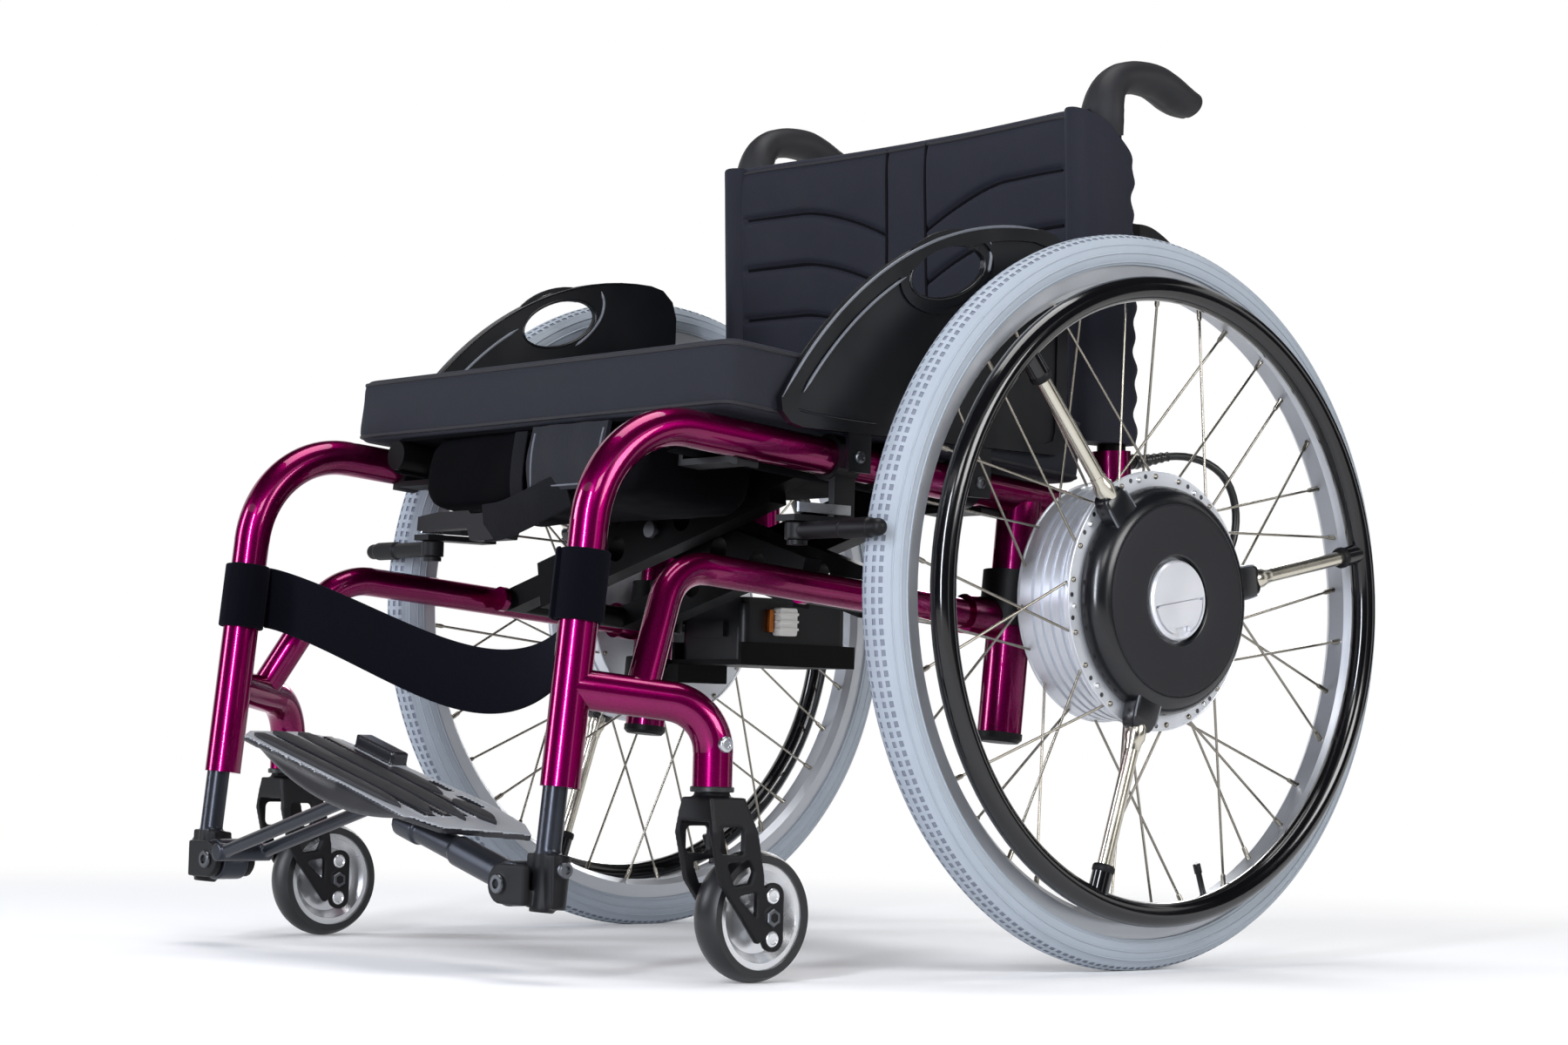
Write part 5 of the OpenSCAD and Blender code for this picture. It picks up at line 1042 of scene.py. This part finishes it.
def make_guard_ridges():
    """Embossed lines of the side guards: rolled front edge, border ridge, slot surround and lower crease."""
    def inset(t, far):
        y, z = guard_edge(t)
        y1, z1 = guard_edge(t + 0.001)
        long = math.hypot(y1 - y, z1 - z)
        return y - (z1 - z) / long * far, z + (y1 - y) / long * far

    tilt = math.radians(19)
    slot = []
    for a in np.linspace(0, 2 * math.pi, 72, endpoint=False):
        u, v = 44.4 * math.cos(a), 20.9 * math.sin(a)
        slot.append((-169 + u * math.cos(tilt) - v * math.sin(tilt), 568 + u * math.sin(tilt) + v * math.cos(tilt)))
    edge = [inset(t, 1.2) for t in np.linspace(0.02, 0.999, 60)]
    ridge = [inset(t, 16.5) for t in np.linspace(0.52, 0.955, 40)]
    short = [(-122.7, 600), (-120.6, 592), (-120.2, 584), (-122.4, 573)]
    inner_short = [(-121, 604), (-117.5, 594), (-119, 583), (-125, 572), (-137, 559), (-150, 549)]
    crease = [(-336, 441.5), (-318, 439.5), (-298, 438.3), (-270, 437.2), (-244, 436.5)]
    beads, highlit_lines = [], []
    # The light grey lines on the front edge, border ridge and short ridges are painted highlights; the beads keep the
    # black gloss
    for kept, x, r, lines in ((highlit_lines, 264.2, 1.3, (edge, ridge)), (highlit_lines, 262.2, 1.6, (short,)),
                              (beads, 261.8, 1.1, (crease,)), (beads, 257.9, 1.1, (edge,)),
                              (highlit_lines, 257.9, 1.5, (ridge, inner_short))):
        for line in lines:
            path = through([at(x, y, z) for y, z in line], 2 * len(line) + 20)
            kept.append(sweep(path, lambda t, r=r: circle(r * min(1, 0.15 + 12 * min(t, 1 - t)), 10),
                              up=Vector((1, 0, 0))))
    for x, r in ((262.1, 1.3), (257.9, 1.1)):
        beads.append(sweep([at(x, y, z) for y, z in slot], circle(r, 10), closed=True, up=Vector((1, 0, 0))))
    screws = [lathe([(5.4, -0.5), (5.4, 0.8), (4.6, 2.0), (2.9, 2.6), (2.6, 1.4), (0.4, 1.4)],
                    placing(on_seat(262, y, 0), (1, 0, 0)), 20) for y in (138, 190, 274)]
    for side, s in SIDES:
        side_piece(side, s, "_guard_lines", beads, COVER_GLOSS, "_frame", 60)
        side_piece(side, s, "_guard_ridges", highlit_lines, HIGHLIGHT_GREY_ABS, "_frame", 60)
        side_piece(side, s, "_guard_screws", screws, DARK_STEEL, "_frame")


def make_small_fittings():
    """Sight plates on the brakes, the battery's connector and the lead's strain reliefs."""
    def outboard(x, y):
        """Stands an outline of y and z upright, at x and moved back by y."""
        return placing(at(x, y, 0), (1, 0, 0), (0, 1, 0))

    plate = prism(((-322, 361.5), (-266, 361.5), (-266, 369.5), (-322, 369.5)), outboard(254.6, 0), 2.6, 0.5)
    for side, s in SIDES:
        side_piece(side, s, "_brake_plate", [plate], ZINC, "_frame")
        casting(side + "_brake_moulding", side + "_brake_bar", NYLON, side + "_brake", 0.9, 5)
    block = prism(rounded_ring(11.0, 279, 305, 2.5), outboard(-109.4, -14), 11, 0.8)
    ribs = [prism(rounded_ring(11.8, 284 + 7 * k, 286.5 + 7 * k, 0.8), outboard(-109.4, -14), 12, 0.4)
            for k in range(3)]
    piece("battery_connector", joined(block, *ribs), WHITE_NYLON, "right_frame")
    strip = prism(rounded_ring(2.4, 282, 303, 0.8), outboard(-109.4, -31), 6, 0.4)
    piece("battery_strip", strip, COPPER_STRIP, "right_frame")
    for name, ends in (("lead_relief_frame", lead_route[:6]), ("lead_relief_hub", lead_route[:-7:-1])):
        relief = sweep(through(ends, 25), lambda t: circle(6.4 - 2.4 * t + 0.5 * math.cos(12 * math.pi * t), 20))
        piece(name, relief, CABLE_PVC, "left_frame", 60)


for side, s in SIDES:
    make_tread(side, s)
    make_wheel_details(side, s)
    make_hub_cover(side, s)
make_footrest()
make_caster_details()
make_grips()
make_guard_ridges()
make_small_fittings()
make_cushion()
make_back()
make_sleeves()
make_calf_strap()
make_sling()


# Stage

def make_stage():
    """White floor and background, black flags and soft boxes."""
    floor = piece("floor", ([(-9, -9, 0), (9, -9, 0), (9, 9, 0), (-9, 9, 0)], [(0, 1, 2, 3)]), None)
    material = bpy.data.materials.new("white_studio_floor")
    material.use_nodes = True
    tree = material.node_tree
    tree.nodes.clear()
    seen = add(tree, "ShaderNodeLightPath")
    place = add(tree, "ShaderNodeTexCoord")
    far = add(tree, "ShaderNodeVectorMath", {0: place.outputs["Object"]}, operation="LENGTH")
    fade = add(tree, "ShaderNodeMapRange", {"Value": far.outputs["Value"], "From Min": 0.75, "From Max": 1.6,
                                            "To Min": 0.12, "To Max": 1.0}, interpolation_type="SMOOTHSTEP")
    eye = add(tree, "ShaderNodeMath", {0: seen.outputs["Is Camera Ray"], 1: seen.outputs["Is Glossy Ray"]},
              operation="MAXIMUM")
    mix = add(tree, "ShaderNodeMath", {0: fade.outputs["Result"], 1: eye.outputs["Value"]}, operation="MULTIPLY")
    paper = add(tree, "ShaderNodeBsdfDiffuse", {"Color": linear("#FBFBFC")})
    white = add(tree, "ShaderNodeEmission", {"Color": (1, 1, 1, 1), "Strength": 1.0})
    both = add(tree, "ShaderNodeMixShader", {0: mix.outputs["Value"], 1: paper.outputs[0], 2: white.outputs[0]})
    add(tree, "ShaderNodeOutputMaterial", {"Surface": both.outputs[0]})
    floor.data.materials[0] = material

    world = bpy.data.worlds.new("studio")
    bpy.context.scene.world = world
    world.use_nodes = True
    tree = world.node_tree
    tree.nodes.clear()
    seen = add(tree, "ShaderNodeLightPath")
    eye = add(tree, "ShaderNodeMath", {0: seen.outputs["Is Camera Ray"], 1: seen.outputs["Is Glossy Ray"]},
              operation="MAXIMUM")
    eye = add(tree, "ShaderNodeMath", {0: eye.outputs["Value"], 1: seen.outputs["Is Transmission Ray"]},
              operation="MAXIMUM")
    fill = add(tree, "ShaderNodeBackground", {"Color": linear("#E8ECF2"), "Strength": 0.12})
    white = add(tree, "ShaderNodeBackground", {"Color": (1, 1, 1, 1), "Strength": 1.0})
    both = add(tree, "ShaderNodeMixShader", {0: eye.outputs["Value"], 1: fill.outputs[0], 2: white.outputs[0]})
    add(tree, "ShaderNodeOutputWorld", {"Surface": both.outputs[0]})

    # Black flags round the set, with gaps: only reflections see them, and they keep gloss and chrome from
    # washing out to the background's white
    black = plain("black_flag_cloth", "#0A0A0B", "#0E0E10", 3.0, (0.9, 0.95))
    flags, flag_far = [], 3.6
    for k, (start, end) in enumerate(((-164, -130), (-115, -66), (-54, -4), (4, 52), (66, 106))):
        arc = np.radians(np.linspace(start, end, 12))
        wall = [[(flag_far * math.cos(a), flag_far * math.sin(a), z) for a in arc] for z in (0.02, 2.5)]
        shape = (wall[0] + wall[1], [(i, i + 1, i + 13, i + 12) for i in range(11)])
        flags.append(piece("flag_%d" % k, shape, black))
    ceiling = [(x * flag_far, y * flag_far, 3.1) for x, y in ((-1, -1), (1, -1), (1, 1), (-1, 1))]
    flags.append(piece("flag_ceiling", (ceiling, [(0, 1, 2, 3)]), black))
    for flag in flags:
        flag.visible_camera = flag.visible_diffuse = flag.visible_transmission = False
        flag.visible_shadow = flag.visible_volume_scatter = False

    def softbox(name, turn, far, height, size, power, colour=(1, 1, 1)):
        """A soft box on the circle round the object, turned to its middle."""
        data = bpy.data.lights.new(name, "AREA")
        data.color = colour
        data.shape = "RECTANGLE"
        data.size_y, data.size = size
        data.energy = power
        lamp = bpy.data.objects.new(name, data)
        where = Vector((far * math.cos(math.radians(turn)), far * math.sin(math.radians(turn)), height))
        lamp.matrix_world = placing(where, where - Vector((0, 0, 0.42)), (0, 0, 1) if far else (1, 0, 0))
        bpy.context.scene.collection.objects.link(lamp)

    softbox("key_strip", -60, 3.0, 1.0, (0.24, 1.7), 68, (0.86, 0.9, 1.0))
    softbox("left_strip", -122, 2.9, 1.0, (0.5, 1.7), 40, (0.86, 0.9, 1.0))
    softbox("camera_softbox", -33, 3.0, 2.0, (0.9, 0.5), 14)
    softbox("side_softbox", 14, 3.0, 1.3, (1.3, 0.9), 38)
    softbox("rear_softbox", 128, 3.0, 1.5, (1.2, 0.8), 30)
    softbox("top_softbox", 0, 0.0, 2.9, (1.6, 1.6), 40)
    bpy.context.scene.view_settings.view_transform = "Standard"


make_stage()
